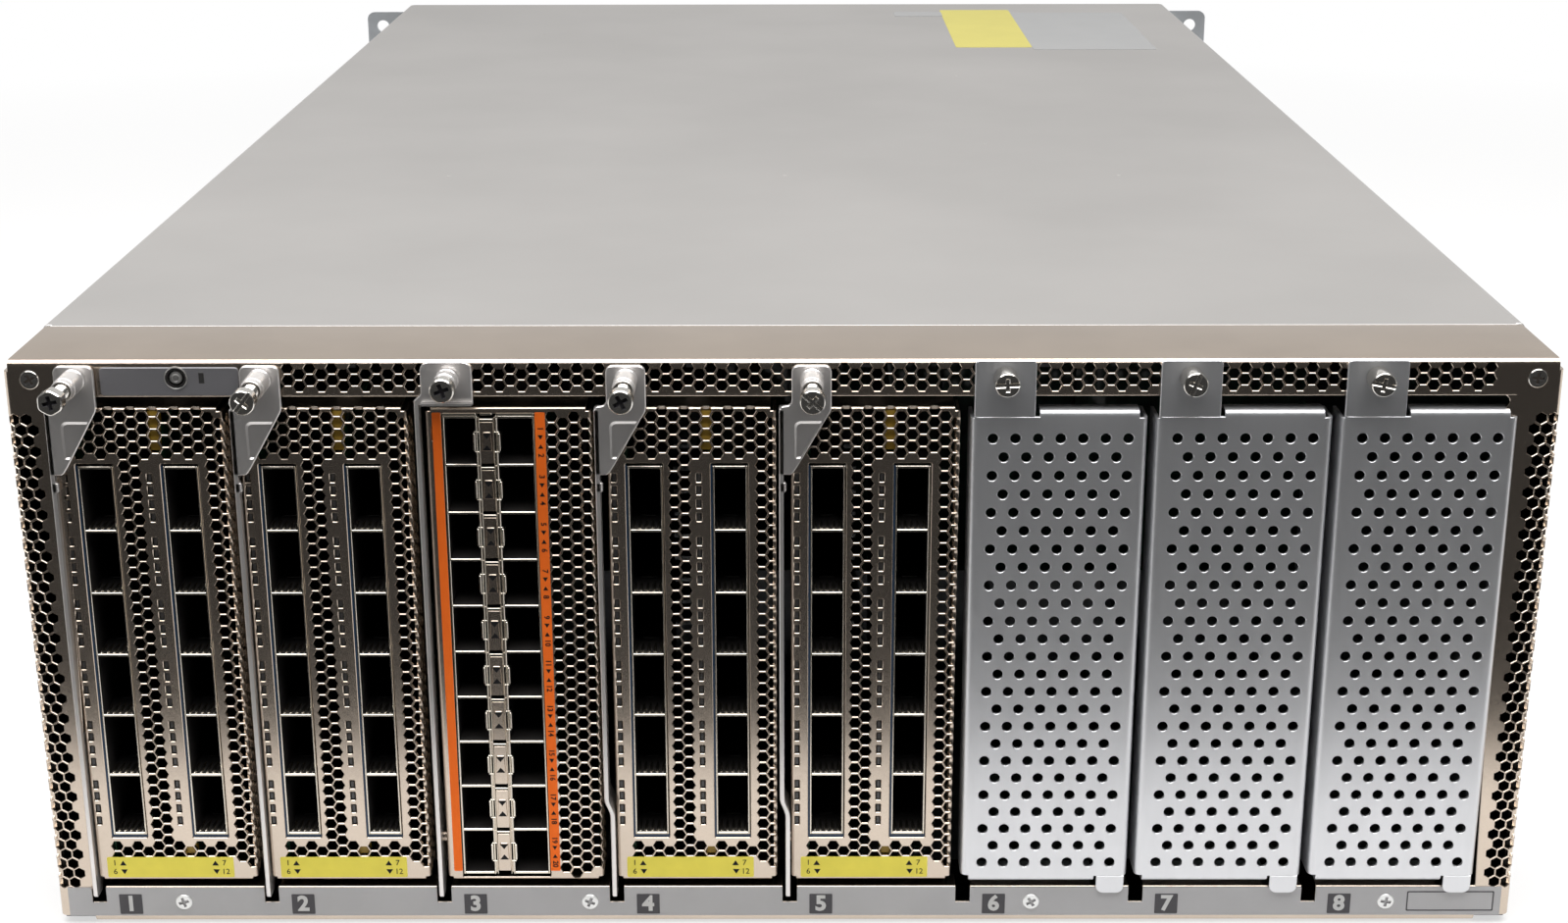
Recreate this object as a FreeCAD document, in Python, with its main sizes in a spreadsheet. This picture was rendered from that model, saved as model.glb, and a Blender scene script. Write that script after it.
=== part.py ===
"""Modular chassis switch, four rack units high, as a parametric FreeCAD document.

Eight slots open to the front (-Y). Slots 1, 2, 4 and 5 hold port modules with two columns of six wide
ports, slot 3 holds one with two columns of ten narrow ports, and slots 6 to 8 hold blank panels.
Four fan modules and four power supplies slide in from the back (+Y).

Every length is in millimetres. Pieces are drawn with Y = 0 on the front face of the bezel and Z = 0 on
the underside. Placements then move them back so that the middle of the whole object is at the origin.
"""
import FreeCAD, Part
import os
import re
import Sketcher

doc = FreeCAD.newDocument("chassis_switch")
dims = doc.addObject("Spreadsheet::Sheet", "Dims")

# ---------------------------------------------------------------- driving dimensions

DIMENSIONS = [
    # chassis
    ("BodyWidth", 439.0, "outside width of bezel and cover, 17.3 in"),
    ("BodyHeight", 177.0, "four rack units less the usual clearance"),
    ("BodyDepth", 762.0, "front of bezel to back of cover, 30 in"),
    ("FrontFace", -375.0, "where the bezel's face lies along Y in the part's frame"),
    ("Sheet", 1.3, "sheet steel of bezel, base and cover"),
    ("CoverFront", 37.4, "front edge of the cover, behind the bezel's top flange"),
    ("CoverSkirt", 15.0, "how far the cover's sides reach down"),
    ("CoverLip", 6.0, "how far its back edge reaches down, clear of the fan modules"),
    ("WallLip", 10.0, "inward lip along the top of each side wall"),
    ("CornerLift", 2.0, "the bezel's bottom corners stop this far above the underside"),
    ("FootHalf", 209.0, "half width of the bezel's bottom flange"),
    ("FootDepth", 21.7, "depth of the bezel's bottom flange"),
    ("BendRadius", 2.0, "outside bend radius of the bezel"),
    ("Gap", 0.3, "clearance between neighbouring pieces"),
    # slots
    ("OpeningHalf", 208.5, "half width of the slot opening"),
    ("OpeningLow", 12.0, "bottom edge of the slot opening"),
    ("OpeningHigh", 166.5, "top edge of the slot opening"),
    ("LedgeDepth", 8.0, "flange folded back along the bottom of the opening"),
    ("SlotFirst", -207.1, "centre of the lever notch of slot 1"),
    ("SlotPitch", 52.2, "distance between slots"),
    ("SlotCount", 8.0, "number of slots"),
    ("NotchHalf", 2.2, "half width of a lever notch"),
    ("NotchLow", 6.7, "bottom of a lever notch"),
    ("ScrewLevel", 171.9, "height of the captive screws"),
    ("ScrewAcross", 8.5, "captive screw of the narrow-port module and the blanks, from its notch"),
    ("FaceLow", 14.0, "bottom edge of a module's face"),
    ("FaceHigh", 163.2, "top edge of a module's face"),
    # modules
    ("FaceSheet", 1.0, "sheet steel of the modules"),
    ("PanDepth", 12.0, "depth of the folded rim round a module's face"),
    ("TrayDepth", 245.0, "depth of a module's carrier sheet"),
    ("TrayLip", 7.6, "lips along the carrier sheet's long edges"),
    ("WideFaceLeft", 0.4, "left edge of a wide-port face, from the notch centre"),
    ("WideFaceRight", 48.5, "right edge of a wide-port face"),
    ("SlimFaceLeft", 2.1, "left edge of the narrow-port face"),
    ("SlimFaceRight", 48.1, "right edge of the narrow-port face"),
    # cages of the wide ports
    ("WideInner", 9.0, "clear width of a wide port"),
    ("WidePitch", 19.25, "height of one wide port with one divider"),
    ("WideRows", 6.0, "wide ports in a column"),
    ("WideLow", 29.6, "middle of the lowest divider"),
    ("WideFirst", 6.5, "left side of the first column's ports"),
    ("WideColumns", 24.3, "distance between the two columns"),
    # cages of the narrow ports
    ("SlimInner", 8.8, "clear width of the left narrow ports"),
    ("SlimInnerRight", 10.0, "clear width of the right narrow ports"),
    ("SlimPitch", 14.37, "height of one narrow port with one divider"),
    ("SlimRows", 10.0, "narrow ports in a column"),
    ("SlimLow", 16.4, "middle of the lowest divider"),
    ("SlimFirst", 6.7, "left side of the left ports"),
    ("Spine", 6.2, "width of the latch spine between the narrow columns"),
    ("CageWall", 0.5, "side walls of a cage"),
    ("CageDivider", 0.8, "dividers of a cage"),
    ("CageFront", 0.3, "front edge of a cage, behind the face"),
    ("CageDepth", 50.0, "depth of a port"),
    ("ConnectorDepth", 12.0, "connector block behind the ports"),
    ("Board", 1.6, "thickness of every circuit board"),
    ("BoardLow", 18.0, "bottom edge of the module boards"),
    ("BoardHigh", 159.0, "top edge of the module boards"),
    ("MezzanineDepth", 180.0, "depth of the board of the second column"),
    ("SinkDepth", 60.0, "length of the heat sink along the air flow"),
    ("SinkHeight", 64.0, "height of the heat sink"),
    ("SinkFin", 1.6, "thickness of a fin"),
    ("SinkPitch", 7.8, "distance between fins"),
    ("SinkBase", 3.0, "base plate of the heat sink"),
    ("SinkReach", 16.0, "height of the fins' tips above the board"),
    ("SinkFront", 100.0, "front of the heat sink"),
    ("SinkLow", 56.0, "lower end of the heat sink"),
    ("BoardFront", 2.0, "front edge of the module boards"),
    # ejector levers
    ("PivotDepth", 6.0, "lever pivot behind the front face"),
    ("PivotLevel", 26.0, "height of the lever pivot"),
    ("PivotRadius", 1.9, "pivot pin"),
    ("LeverSheet", 1.3, "sheet steel of the levers"),
    ("LeverLeft", -1.2, "left side of a lever's bar, from the notch centre"),
    ("LeverJog", 1.7, "sideways step of the bars of slots 4 and 5"),
    ("LeverTop", 175.8, "upper end of a lever's ear"),
    ("EarLeft", 3.6, "left side of a lever's ear, from the bar's left side"),
    ("EarRight", 14.8, "right side of that ear"),
    ("EarScrew", 9.3, "captive screw in that ear, from the bar's left side"),
    ("GripLow", 143.6, "lower end of a lever's grip plate"),
    ("SlimEarLeft", 0.9, "left side of the narrow-port lever's ear"),
    ("SlimEarRight", 15.4, "right side of that ear"),
    ("JogLow", 36.0, "where the bar's sideways step begins"),
    ("JogHigh", 42.0, "where the bar's sideways step ends"),
    ("LeverFront", -2.1, "front of the lever's plate"),
    ("BarDepth", 8.0, "how far the lever's bar reaches behind the face at its foot"),
    ("ToeLow", 9.3, "lower end of the lever's toe"),
    ("FerruleRadius", 3.3, "ferrule that guides a captive screw"),
    ("FerruleEnd", -14.0, "front end of the ferrule"),
    ("NeckRadius", 2.2, "neck of a captive screw"),
    ("HeadRadius", 3.5, "head of a captive screw"),
    ("HeadLength", 4.0, "length of that head"),
    ("HeadFront", -25.0, "front of a captive screw that stands out"),
    ("TipBack", 5.8, "tip of a captive screw that is driven home"),
    ("SeatedFront", -14.0, "front of the narrow-port module's screw"),
    ("SeatedEnd", -10.0, "front end of that module's ferrule"),
    ("BlankHead", -9.0, "front of a blank panel's screw"),
    # blank panels
    ("BlankLeft", -0.9, "left edge of a blank panel, from the notch centre"),
    ("BlankRight", 49.1, "right edge of a blank panel"),
    ("BlankFront", -1.4, "front of a blank panel, which lies on the bezel"),
    ("BlankTab", 17.0, "width of the tab under the captive screw"),
    ("HookLeft", 40.0, "hook at the panel's foot"),
    ("HookRight", 48.3, "other side of that hook"),
    ("HookLow", 10.3, "lower end of that hook"),
    ("BlankHigh", 162.5, "top edge of a blank panel"),
    # trim
    ("StripHalf", 216.5, "half width of the slot label strip"),
    ("StripSheet", 0.3, "thickness of the label strip"),
    ("ButtonAcross", -170.6, "beacon button"),
    ("ButtonLevel", 172.0, "height of the beacon button"),
    ("ButtonRadius", 1.9, "beacon button"),
    ("ButtonTravel", 1.0, "how far the button can be pressed"),
    ("PlateLeft", -192.1, "left edge of the small plate round the button"),
    ("PlateRight", -153.0, "right edge of that plate"),
    ("PlateSheet", 0.5, "thickness of that plate"),
    # inside
    ("MidplaneDepth", 262.0, "front of the midplane board"),
    ("RailWidth", 6.0, "width of a card guide"),
    ("RailFront", 30.0, "front of the lower card guides"),
    ("HeaderLeft", 8.0, "left side of a slot's header, from the notch centre"),
    ("HeaderWide", 12.0, "width of a header"),
    ("HeaderDepth", 8.0, "depth of a header"),
    ("HeaderLow", 44.0, "lower end of a header"),
    ("HeaderHigh", 132.0, "upper end of a header"),
    ("PinDepth", 8.0, "length of the beacon button behind the bezel's face"),
    # rack ears
    ("EarFront", 742.0, "front of the rack ears"),
    ("EarSheet", 2.0, "sheet steel of the rack ears"),
    ("EarHalf", 241.3, "half of the nineteen-inch front width"),
    ("EarHoleHalf", 232.55, "half of the hole distance across the rack"),
    ("EarHoleHigh", 167.0, "height of the upper holes"),
    ("EarHoleSpacing", 149.2, "hole distance up the rack"),
    ("EarHoleRadius", 3.5, "clearance hole for an M6 screw"),
    ("EarLow", 9.0, "lower end of an ear"),
    ("EarHigh", 175.0, "upper end of an ear"),
    ("EarFlange", 60.0, "length of the ear's flange along the wall"),
    # back
    ("BackPlane", 748.0, "front of the back frame"),
    ("FanPitch", 106.5, "distance between fan modules"),
    ("FanWide", 101.0, "width of a fan housing"),
    ("FanLow", 64.0, "lowest edge of a fan housing"),
    ("FanTall", 104.0, "height of a fan housing"),
    ("FanDepth", 86.0, "depth of a fan housing"),
    ("FanBore", 47.0, "radius of the fan's bore"),
    ("FanHub", 18.0, "radius of the rotor's hub"),
    ("FanTip", 45.0, "radius at the blade tips"),
    ("FanBlades", 7.0, "blades on a rotor"),
    ("HubHalf", 14.0, "half of the hub's length"),
    ("BladePitch", 55.0, "pitch of the blades, in degrees"),
    ("BladeChord", 25.0, "chord of a blade"),
    ("BladeSheet", 2.4, "thickness of a blade along the shaft"),
    ("MotorDepth", 16.0, "length of the fixed motor on the guard"),
    ("GuardSheet", 1.6, "thickness of the fan guard"),
    ("FanFlange", 2.0, "how far the fan's plate laps over the back frame"),
    ("HandleReach", 775.0, "back of the handles"),
    ("SupplyPitch", 86.0, "distance between power supplies"),
    ("SupplyFirst", -86.0, "middle of the first power supply"),
    ("SupplyWide", 82.0, "width of a power supply"),
    ("SupplyLow", 5.0, "lower side of a power supply"),
    ("SupplyTall", 50.0, "height of a power supply"),
    ("SupplyDepth", 230.0, "depth of a power supply inside the chassis"),
    ("InletWide", 27.6, "width of the mains inlet"),
    ("InletTall", 20.2, "height of the mains inlet"),
    ("InletDepth", 16.0, "depth of the mains inlet"),
    ("InletEdge", 5.0, "distance of the mains inlet from the supply's left side"),
    ("ExhaustWide", 38.0, "width of the recess for the supply's exhaust grille"),
    ("ExhaustTall", 34.0, "upper edge of that recess above the supply's underside"),
    ("SpiderArm", 4.0, "width of the guard's arms"),
    ("Bail", 4.0, "bar of the handles"),
    ("FanBail", 30.0, "half width of a fan module's handle"),
    ("BailTall", 5.0, "height of a fan module's handle"),
    ("PanelDepth", 60.0, "depth of the management module"),
    ("SocketLow", 23.0, "lower side of the management sockets"),
    ("SocketSize", 12.0, "width and height of a management socket"),
    ("LatchReach", 16.0, "length of a supply's latch"),
    ("LatchPivot", 2.8, "axis of that latch behind the supply's face"),
    ("LatchTall", 6.0, "height of that latch"),
]

for row, (alias, number, note) in enumerate(DIMENSIONS, start=1):
    dims.set(f"A{row}", alias)
    dims.set(f"B{row}", str(number))
    dims.set(f"C{row}", note)
    dims.setAlias(f"B{row}", alias)
doc.recompute()

WIDE_SLOTS = (1, 2, 4, 5)
JOGGED_SLOTS = (4, 5)
SLIM_SLOT = 3
BLANK_SLOTS = (6, 7, 8)
BAYS = (1, 2, 3, 4)
ROUND = 12  # sides of the polygon that stands for a small circle

nodes = {}


# ---------------------------------------------------------------- expressions and placements

def bound(text):
    """An expression in the sheet's aliases, written out as FreeCAD reads it."""
    return re.sub(r"\b([A-Z][A-Za-z]+)", r"Dims.\1", str(text))


def value(text):
    """The number that such an expression gives at present."""
    return float(dims.evalExpression(bound(text)))


def place(thing, x="0", y="0", z="0"):
    """Bind a placement; y counts back from the bezel's front face."""
    thing.setExpression("Placement.Base.x", bound(x))
    thing.setExpression("Placement.Base.y", bound(f"FrontFace + ({y})"))
    thing.setExpression("Placement.Base.z", bound(z))


def slot_x(slot):
    """Centre of a slot's lever notch."""
    return f"SlotFirst + {slot - 1}*SlotPitch"


def screw_x(slot):
    """Axis of a slot's captive screw, from its notch."""
    if slot not in WIDE_SLOTS:
        return "ScrewAcross"
    return f"{bar_left(slot)} + EarScrew"


def bar_left(slot):
    """Left side of the upper part of a lever's bar, from its notch."""
    return "LeverLeft - LeverJog" if slot in JOGGED_SLOTS else "LeverLeft"


def register(thing, name):
    """Name a finished sub-part after its node."""
    thing.Label = name
    nodes[name] = thing


# ---------------------------------------------------------------- sketches and features

# origin plane, and whether the sketch's normal points along (+1) or against (-1) the world axis
PLANES = {"XY": ("XY_Plane", 1), "XZ": ("XZ_Plane", -1), "YZ": ("YZ_Plane", 1)}


def new_body(name, x="0", y="0", z="0"):
    body = doc.addObject("PartDesign::Body", name)
    place(body, x, y, z)
    register(body, name)
    return body


def datum(body, role):
    """An origin plane or axis of the body."""
    return next(item for item in body.Origin.OriginFeatures if item.Role == role)


def rectangle(left, low, right, high):
    """Corners of a rectangle."""
    return [(left, low), (right, low), (right, high), (left, high)]


def ring(radius, sides, u="0", v="0"):
    """Corners of a regular polygon, which stands for a circle where a form repeats."""
    turns = [360*(index + 0.5)/sides for index in range(sides)]
    return [(f"{u} + ({radius})*cos({turn:.4f})", f"{v} + ({radius})*sin({turn:.4f})") for turn in turns]


def add_outline(sketch, points):
    """A closed outline of straight runs, each corner bound to a pair of expressions."""
    first = sketch.GeometryCount
    corners = [FreeCAD.Vector(value(u), value(v), 0) for u, v in points]
    count = len(corners)
    for index, corner in enumerate(corners):
        sketch.addGeometry(Part.LineSegment(corner, corners[(index + 1) % count]))
    for index, (u, v) in enumerate(points):
        following = first + (index + 1) % count
        sketch.addConstraint(Sketcher.Constraint("Coincident", first + index, 2, following, 1))
        bind_point(sketch, first + index, 1, u, v)


def add_circle(sketch, u, v, radius):
    """A circle bound to expressions for its centre and radius."""
    centre = FreeCAD.Vector(value(u), value(v), 0)
    edge = sketch.addGeometry(Part.Circle(centre, FreeCAD.Vector(0, 0, 1), value(radius)))
    bind_point(sketch, edge, 3, u, v)
    constraint = sketch.addConstraint(Sketcher.Constraint("Radius", edge, value(radius)))
    sketch.setExpression(f"Constraints[{constraint}]", bound(radius))


def bind_point(sketch, edge, end, u, v):
    """Hold one point of an edge at a pair of expressions, measured from the sketch's origin."""
    for kind, distance in (("DistanceX", u), ("DistanceY", v)):
        rule = Sketcher.Constraint(kind, -1, 1, edge, end, value(distance))
        constraint = sketch.addConstraint(rule)
        sketch.setExpression(f"Constraints[{constraint}]", bound(distance))


def new_sketch(body, plane, level, loops):
    """A sketch at a level of an origin plane. A loop is an outline, or a circle as (u, v, radius)."""
    role, sense = PLANES[plane]
    sketch = body.newObject("Sketcher::SketchObject", f"{body.Name}_sketch")
    sketch.AttachmentSupport = [(datum(body, role), "")]
    sketch.MapMode = "FlatFace"
    sketch.setExpression("AttachmentOffset.Base.z", bound(f"{sense}*({level})"))
    for loop in loops:
        if isinstance(loop, tuple):
            add_circle(sketch, *loop)
        else:
            add_outline(sketch, loop)
    return sketch


def add_feature(body, kind, plane, start, length, loops):
    """Pad or pocket from a start level along the positive world axis."""
    feature = body.newObject(f"PartDesign::{kind}", f"{body.Name}_{kind.lower()}")
    feature.Profile = new_sketch(body, plane, start, loops)
    along_normal = PLANES[plane][1] == 1
    feature.Reversed = along_normal if kind == "Pocket" else not along_normal
    feature.setExpression("Length", bound(length))
    return feature


def pad(body, plane, start, length, *loops):
    return add_feature(body, "Pad", plane, start, length, loops)


def pocket(body, plane, start, length, *loops):
    return add_feature(body, "Pocket", plane, start, length, loops)


def straight_edges(shape, axis, places):
    """Names of the straight edges along an axis that pass through the given places of the other two."""
    across = [other for other in range(3) if other != axis]
    names = []
    for index, edge in enumerate(shape.Edges, start=1):
        if not isinstance(edge.Curve, Part.Line) or abs(abs(edge.Curve.Direction[axis]) - 1) > 1e-6:
            continue
        spot = [edge.Vertexes[0].Point[other] for other in across]
        if any(abs(spot[0] - u) < 0.01 and abs(spot[1] - v) < 0.01 for u, v in places):
            names.append(f"Edge{index}")
    return names


def round_corners(body, axis, radius, *places):
    """Fillet the edges along an axis (0 X, 1 Y, 2 Z) at places given as pairs of expressions."""
    doc.recompute()
    base = body.Tip
    spots = [(value(u), value(v)) for u, v in places]
    names = straight_edges(base.Shape, axis, spots)
    if len(names) < len(spots):
        raise RuntimeError(f"{body.Label}: {len(names)} of {len(spots)} edges found")
    fillet = body.newObject("PartDesign::Fillet", f"{body.Name}_fillet")
    fillet.Base = (base, names)
    fillet.setExpression("Radius", bound(radius))


def new_box(name, left, front, low, right, back, high):
    """A plain block between six levels, in its owner's frame."""
    block = doc.addObject("Part::Box", name)
    block.setExpression("Placement.Base.x", bound(left))
    block.setExpression("Placement.Base.y", bound(front))
    block.setExpression("Placement.Base.z", bound(low))
    block.setExpression("Length", bound(f"({right}) - ({left})"))
    block.setExpression("Width", bound(f"({back}) - ({front})"))
    block.setExpression("Height", bound(f"({high}) - ({low})"))
    return block


def new_group(name, members, x="0", z="0"):
    """Separate solids that share one node."""
    group = doc.addObject("Part::Compound", name)
    group.Links = members
    place(group, x, "0", z)
    register(group, name)
    return group


# ---------------------------------------------------------------- chassis

def make_base():
    """Folded pan: the floor steps up over the bezel's bottom flange, and lips turn in at the top."""
    body = new_body("chassis_base")
    outer, inner = "(BodyWidth/2 - Sheet)", "(BodyWidth/2 - 2*Sheet)"
    top, under = "(BodyHeight - Sheet)", "(BodyHeight - 2*Sheet)"
    lip = f"({outer} - WallLip)"
    pan = [
        (f"-{outer}", "0"), (outer, "0"), (outer, top), (lip, top), (lip, under), (inner, under),
        (inner, "Sheet"), (f"-{inner}", "Sheet"), (f"-{inner}", under), (f"-{lip}", under),
        (f"-{lip}", top), (f"-{outer}", top),
    ]
    step = [
        (f"-{outer}", "Sheet"), (outer, "Sheet"), (outer, top), (inner, top),
        (inner, "2*Sheet"), (f"-{inner}", "2*Sheet"), (f"-{inner}", top), (f"-{outer}", top),
    ]
    pad(body, "XZ", "FootDepth + Gap", "BodyDepth - 2*Sheet - FootDepth", pan)
    pad(body, "XZ", "Sheet", "FootDepth + Sheet", step)


def make_cover():
    """Top sheet with skirts outside the side walls and a narrow lip along its back edge."""
    body = new_body("top_cover")
    half, skirt = "BodyWidth/2", "BodyHeight - CoverSkirt"
    inner, under = "(BodyWidth/2 - Sheet)", "BodyHeight - Sheet"
    section = [
        (f"-{half}", skirt), (f"-{inner}", skirt), (f"-{inner}", under), (inner, under),
        (inner, skirt), (half, skirt), (half, "BodyHeight"), (f"-{half}", "BodyHeight"),
    ]
    pad(body, "XZ", "CoverFront", "BodyDepth - CoverFront", section)
    lip = rectangle(f"-{inner}", "BodyHeight - CoverLip", inner, under)
    pad(body, "XZ", "BodyDepth - Sheet", "Sheet", lip)


def make_bezel():
    """Front sheet with the slot opening, its folded flanges, the lever notches and screw holes."""
    body = new_body("front_bezel")
    half, inner = "BodyWidth/2", "(BodyWidth/2 - Sheet)"
    face = [
        (f"-{half}", "CornerLift"), ("-FootHalf", "CornerLift"), ("-FootHalf", "0"), ("FootHalf", "0"),
        ("FootHalf", "CornerLift"), (half, "CornerLift"), (half, "BodyHeight"), (f"-{half}", "BodyHeight"),
    ]
    opening = rectangle("-OpeningHalf", "OpeningLow", "OpeningHalf", "OpeningHigh")
    wrap = [
        (f"-{half}", "CornerLift"), (f"-{inner}", "CornerLift"), (f"-{inner}", "BodyHeight - Sheet"),
        (inner, "BodyHeight - Sheet"), (inner, "CornerLift"), (half, "CornerLift"),
        (half, "BodyHeight"), (f"-{half}", "BodyHeight"),
    ]
    pad(body, "XZ", "0", "Sheet", face, opening)
    pad(body, "XZ", "0", "CoverFront - Gap", wrap)
    pad(body, "XZ", "0", "FootDepth", rectangle("-FootHalf", "0", "FootHalf", "Sheet - Gap"))
    ledge = rectangle("-OpeningHalf", "OpeningLow - Sheet", "OpeningHalf", "OpeningLow")
    pad(body, "XZ", "0", "LedgeDepth", ledge)
    notches = []
    for slot in range(1, int(value("SlotCount")) + 1):
        centre = slot_x(slot)
        notches.append(rectangle(f"{centre} - NotchHalf", "NotchLow", f"{centre} + NotchHalf",
                                 "OpeningLow + 1"))
    pocket(body, "XZ", "-1", "LedgeDepth + 2", *notches)
    holes = []
    for slot in range(1, int(value("SlotCount")) + 1):
        across = f"{slot_x(slot)} + {screw_x(slot)}"
        holes.append(ring("NeckRadius + Gap", ROUND, across, "ScrewLevel"))
    holes.append(("ButtonAcross", "ButtonLevel", "ButtonRadius + Gap"))
    pocket(body, "XZ", "-1", "3", *holes)
    round_corners(body, 0, "BendRadius", ("0", "BodyHeight"))
    round_corners(body, 1, "BendRadius", ("-OpeningHalf", "OpeningHigh"), ("OpeningHalf", "OpeningHigh"))


def make_label_strip():
    """Thin plate along the foot of the bezel, cut out at the lever notches."""
    body = new_body("slot_label_strip")
    low, high = "CornerLift + Gap", "OpeningLow - Gap"
    points = [("-StripHalf", low), ("StripHalf", low), ("StripHalf", high)]
    for slot in range(int(value("SlotCount")), 0, -1):
        centre = slot_x(slot)
        left, right = f"{centre} - NotchHalf", f"{centre} + NotchHalf"
        points += [(right, high), (right, "NotchLow"), (left, "NotchLow"), (left, high)]
    points.append(("-StripHalf", high))
    pad(body, "XZ", "-StripSheet", "StripSheet", points)


def make_id_plate():
    """Small plate on the bezel round the beacon button, with a slot for its lamp."""
    body = new_body("id_plate")
    outline = rectangle("PlateLeft", "OpeningHigh + Gap", "PlateRight", "BodyHeight - BendRadius")
    button = ("ButtonAcross", "ButtonLevel", "ButtonRadius + Gap")
    lamp = rectangle("ButtonAcross + 6.7", "ButtonLevel - 1.5", "ButtonAcross + 8", "ButtonLevel + 1.5")
    pad(body, "XZ", "-PlateSheet", "PlateSheet", outline, button, lamp)


def make_button():
    """Beacon button: a round cap on a square pin."""
    body = new_body("beacon_button", "ButtonAcross", "0", "ButtonLevel")
    cap = "PlateSheet + Sheet + ButtonTravel"
    pad(body, "XZ", "-PlateSheet", cap, ("0", "0", "ButtonRadius"))
    pad(body, "XZ", "Sheet + ButtonTravel", "PinDepth - Sheet - ButtonTravel", ring("ButtonRadius/2", 4))


def make_rails():
    """Card guides: one rail under and one above each slot."""
    rails = []
    middle = "(WideFaceLeft + WideFaceRight)/2"
    for slot in range(1, int(value("SlotCount")) + 1):
        left = f"{slot_x(slot)} + {middle} - RailWidth/2"
        right = f"{left} + RailWidth"
        back = "MidplaneDepth - 4"
        rails.append(new_box(f"rail_low_{slot}", left, "RailFront", "Sheet + Gap", right, back,
                             "FaceLow - Gap"))
        rails.append(new_box(f"rail_high_{slot}", left, "CoverFront + 2", "FaceHigh + Gap", right, back,
                             "BodyHeight - Sheet - Gap"))
    new_group("card_guides", rails)


def make_midplane():
    """Board that the modules plug into, with one header for each slot."""
    front = "MidplaneDepth"
    members = [new_box("midplane_sheet", "-OpeningHalf + 2", front, "FaceLow", "OpeningHalf - 2",
                       f"{front} + 2*Board", "FaceHigh")]
    for slot in range(1, int(value("SlotCount")) + 1):
        left = f"{slot_x(slot)} + HeaderLeft"
        members.append(new_box(f"header_{slot}", left, f"{front} - HeaderDepth", "HeaderLow",
                               f"{left} + HeaderWide", front, "HeaderHigh"))
    new_group("midplane_board", members)


def make_ear(name, side):
    """Rack ear: an angle with a flange along the side wall and two holes towards the rack."""
    body = new_body(name)
    wall = "(BodyWidth/2)"
    inside, outside = f"{side}*{wall}", f"{side}*EarHalf"
    left, right = sorted((inside, outside), key=value)
    low_hole = (f"{side}*EarHoleHalf", "EarHoleHigh - EarHoleSpacing", "EarHoleRadius")
    high_hole = (f"{side}*EarHoleHalf", "EarHoleHigh", "EarHoleRadius")
    pad(body, "XZ", "EarFront", "EarSheet", rectangle(left, "EarLow", right, "EarHigh"),
        low_hole, high_hole)
    flange = sorted((inside, f"{side}*({wall} + EarSheet)"), key=value)
    pad(body, "XZ", "EarFront - EarFlange", "EarFlange", rectangle(flange[0], "EarLow", flange[1],
                                                                  "EarHigh - CoverSkirt"))
    round_corners(body, 1, "4", (outside, "EarLow"), (outside, "EarHigh"))


# ---------------------------------------------------------------- port modules

def make_tray(slot, left, right, windows):
    """Module carrier: face with port windows, folded rim, and a side sheet with lips that run back."""
    body = new_body(f"module_tray_{slot}", slot_x(slot))
    rim = rectangle(left, "FaceLow", right, "FaceHigh")
    hollow = rectangle(f"{left} + FaceSheet", "FaceLow + FaceSheet", f"{right} - FaceSheet",
                       "FaceHigh - FaceSheet")
    channel = [
        (left, "FaceLow"), (f"{left} + TrayLip", "FaceLow"), (f"{left} + TrayLip", "FaceLow + FaceSheet"),
        (f"{left} + FaceSheet", "FaceLow + FaceSheet"), (f"{left} + FaceSheet", "FaceHigh - FaceSheet"),
        (f"{left} + TrayLip", "FaceHigh - FaceSheet"), (f"{left} + TrayLip", "FaceHigh"),
        (left, "FaceHigh"),
    ]
    pad(body, "XZ", "0", "FaceSheet", rim, *windows)
    pad(body, "XZ", "0", "PanDepth", rim, hollow)
    pad(body, "XZ", "0", "TrayDepth", channel)
    pin = ("PivotDepth", "PivotLevel", "PivotRadius")
    pad(body, "YZ", "LeverLeft", f"{left} - LeverLeft", pin)


def cage_column(slot, number, left, inner, low, pitch, rows):
    """One column of ports: two side walls, the dividers between them and the connector block behind."""
    right = f"{left} + {inner}"
    bottom, top = f"{low} - CageDivider/2", f"{low} + {rows}*{pitch} + CageDivider/2"
    back = "CageFront + CageDepth"
    name = f"cage_{slot}_{number}"
    walls = [
        new_box(f"{name}_left", f"{left} - CageWall", "CageFront", bottom, left, back, top),
        new_box(f"{name}_right", right, "CageFront", bottom, f"{right} + CageWall", back, top),
        new_box(f"{name}_back", f"{left} - CageWall", back, bottom, f"{right} + CageWall",
                f"{back} + ConnectorDepth", top),
    ]
    for row in range(int(value(rows)) + 1):
        middle = f"{low} + {row}*{pitch}"
        walls.append(new_box(f"{name}_divider_{row}", left, "CageFront", f"{middle} - CageDivider/2",
                             right, back, f"{middle} + CageDivider/2"))
    return walls


def heat_sink(slot, left, front, low):
    """Finned block: fins run with the air flow, front to back."""
    body = doc.addObject("PartDesign::Body", f"heat_sink_{slot}")
    base = f"{left} + SinkBase"
    pad(body, "XZ", front, "SinkDepth", rectangle(left, low, base, f"{low} + SinkHeight"))
    fin = rectangle(base, low, f"{left} + SinkReach", f"{low} + SinkFin")
    first = pad(body, "XZ", front, "SinkDepth", fin)
    fins = body.newObject("PartDesign::LinearPattern", f"{body.Name}_fins")
    fins.Originals = [first]
    fins.Direction = (datum(body, "Z_Axis"), [""])
    fins.setExpression("Length", bound("8*SinkPitch"))
    fins.Occurrences = 9
    body.Tip = fins
    return body


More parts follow.
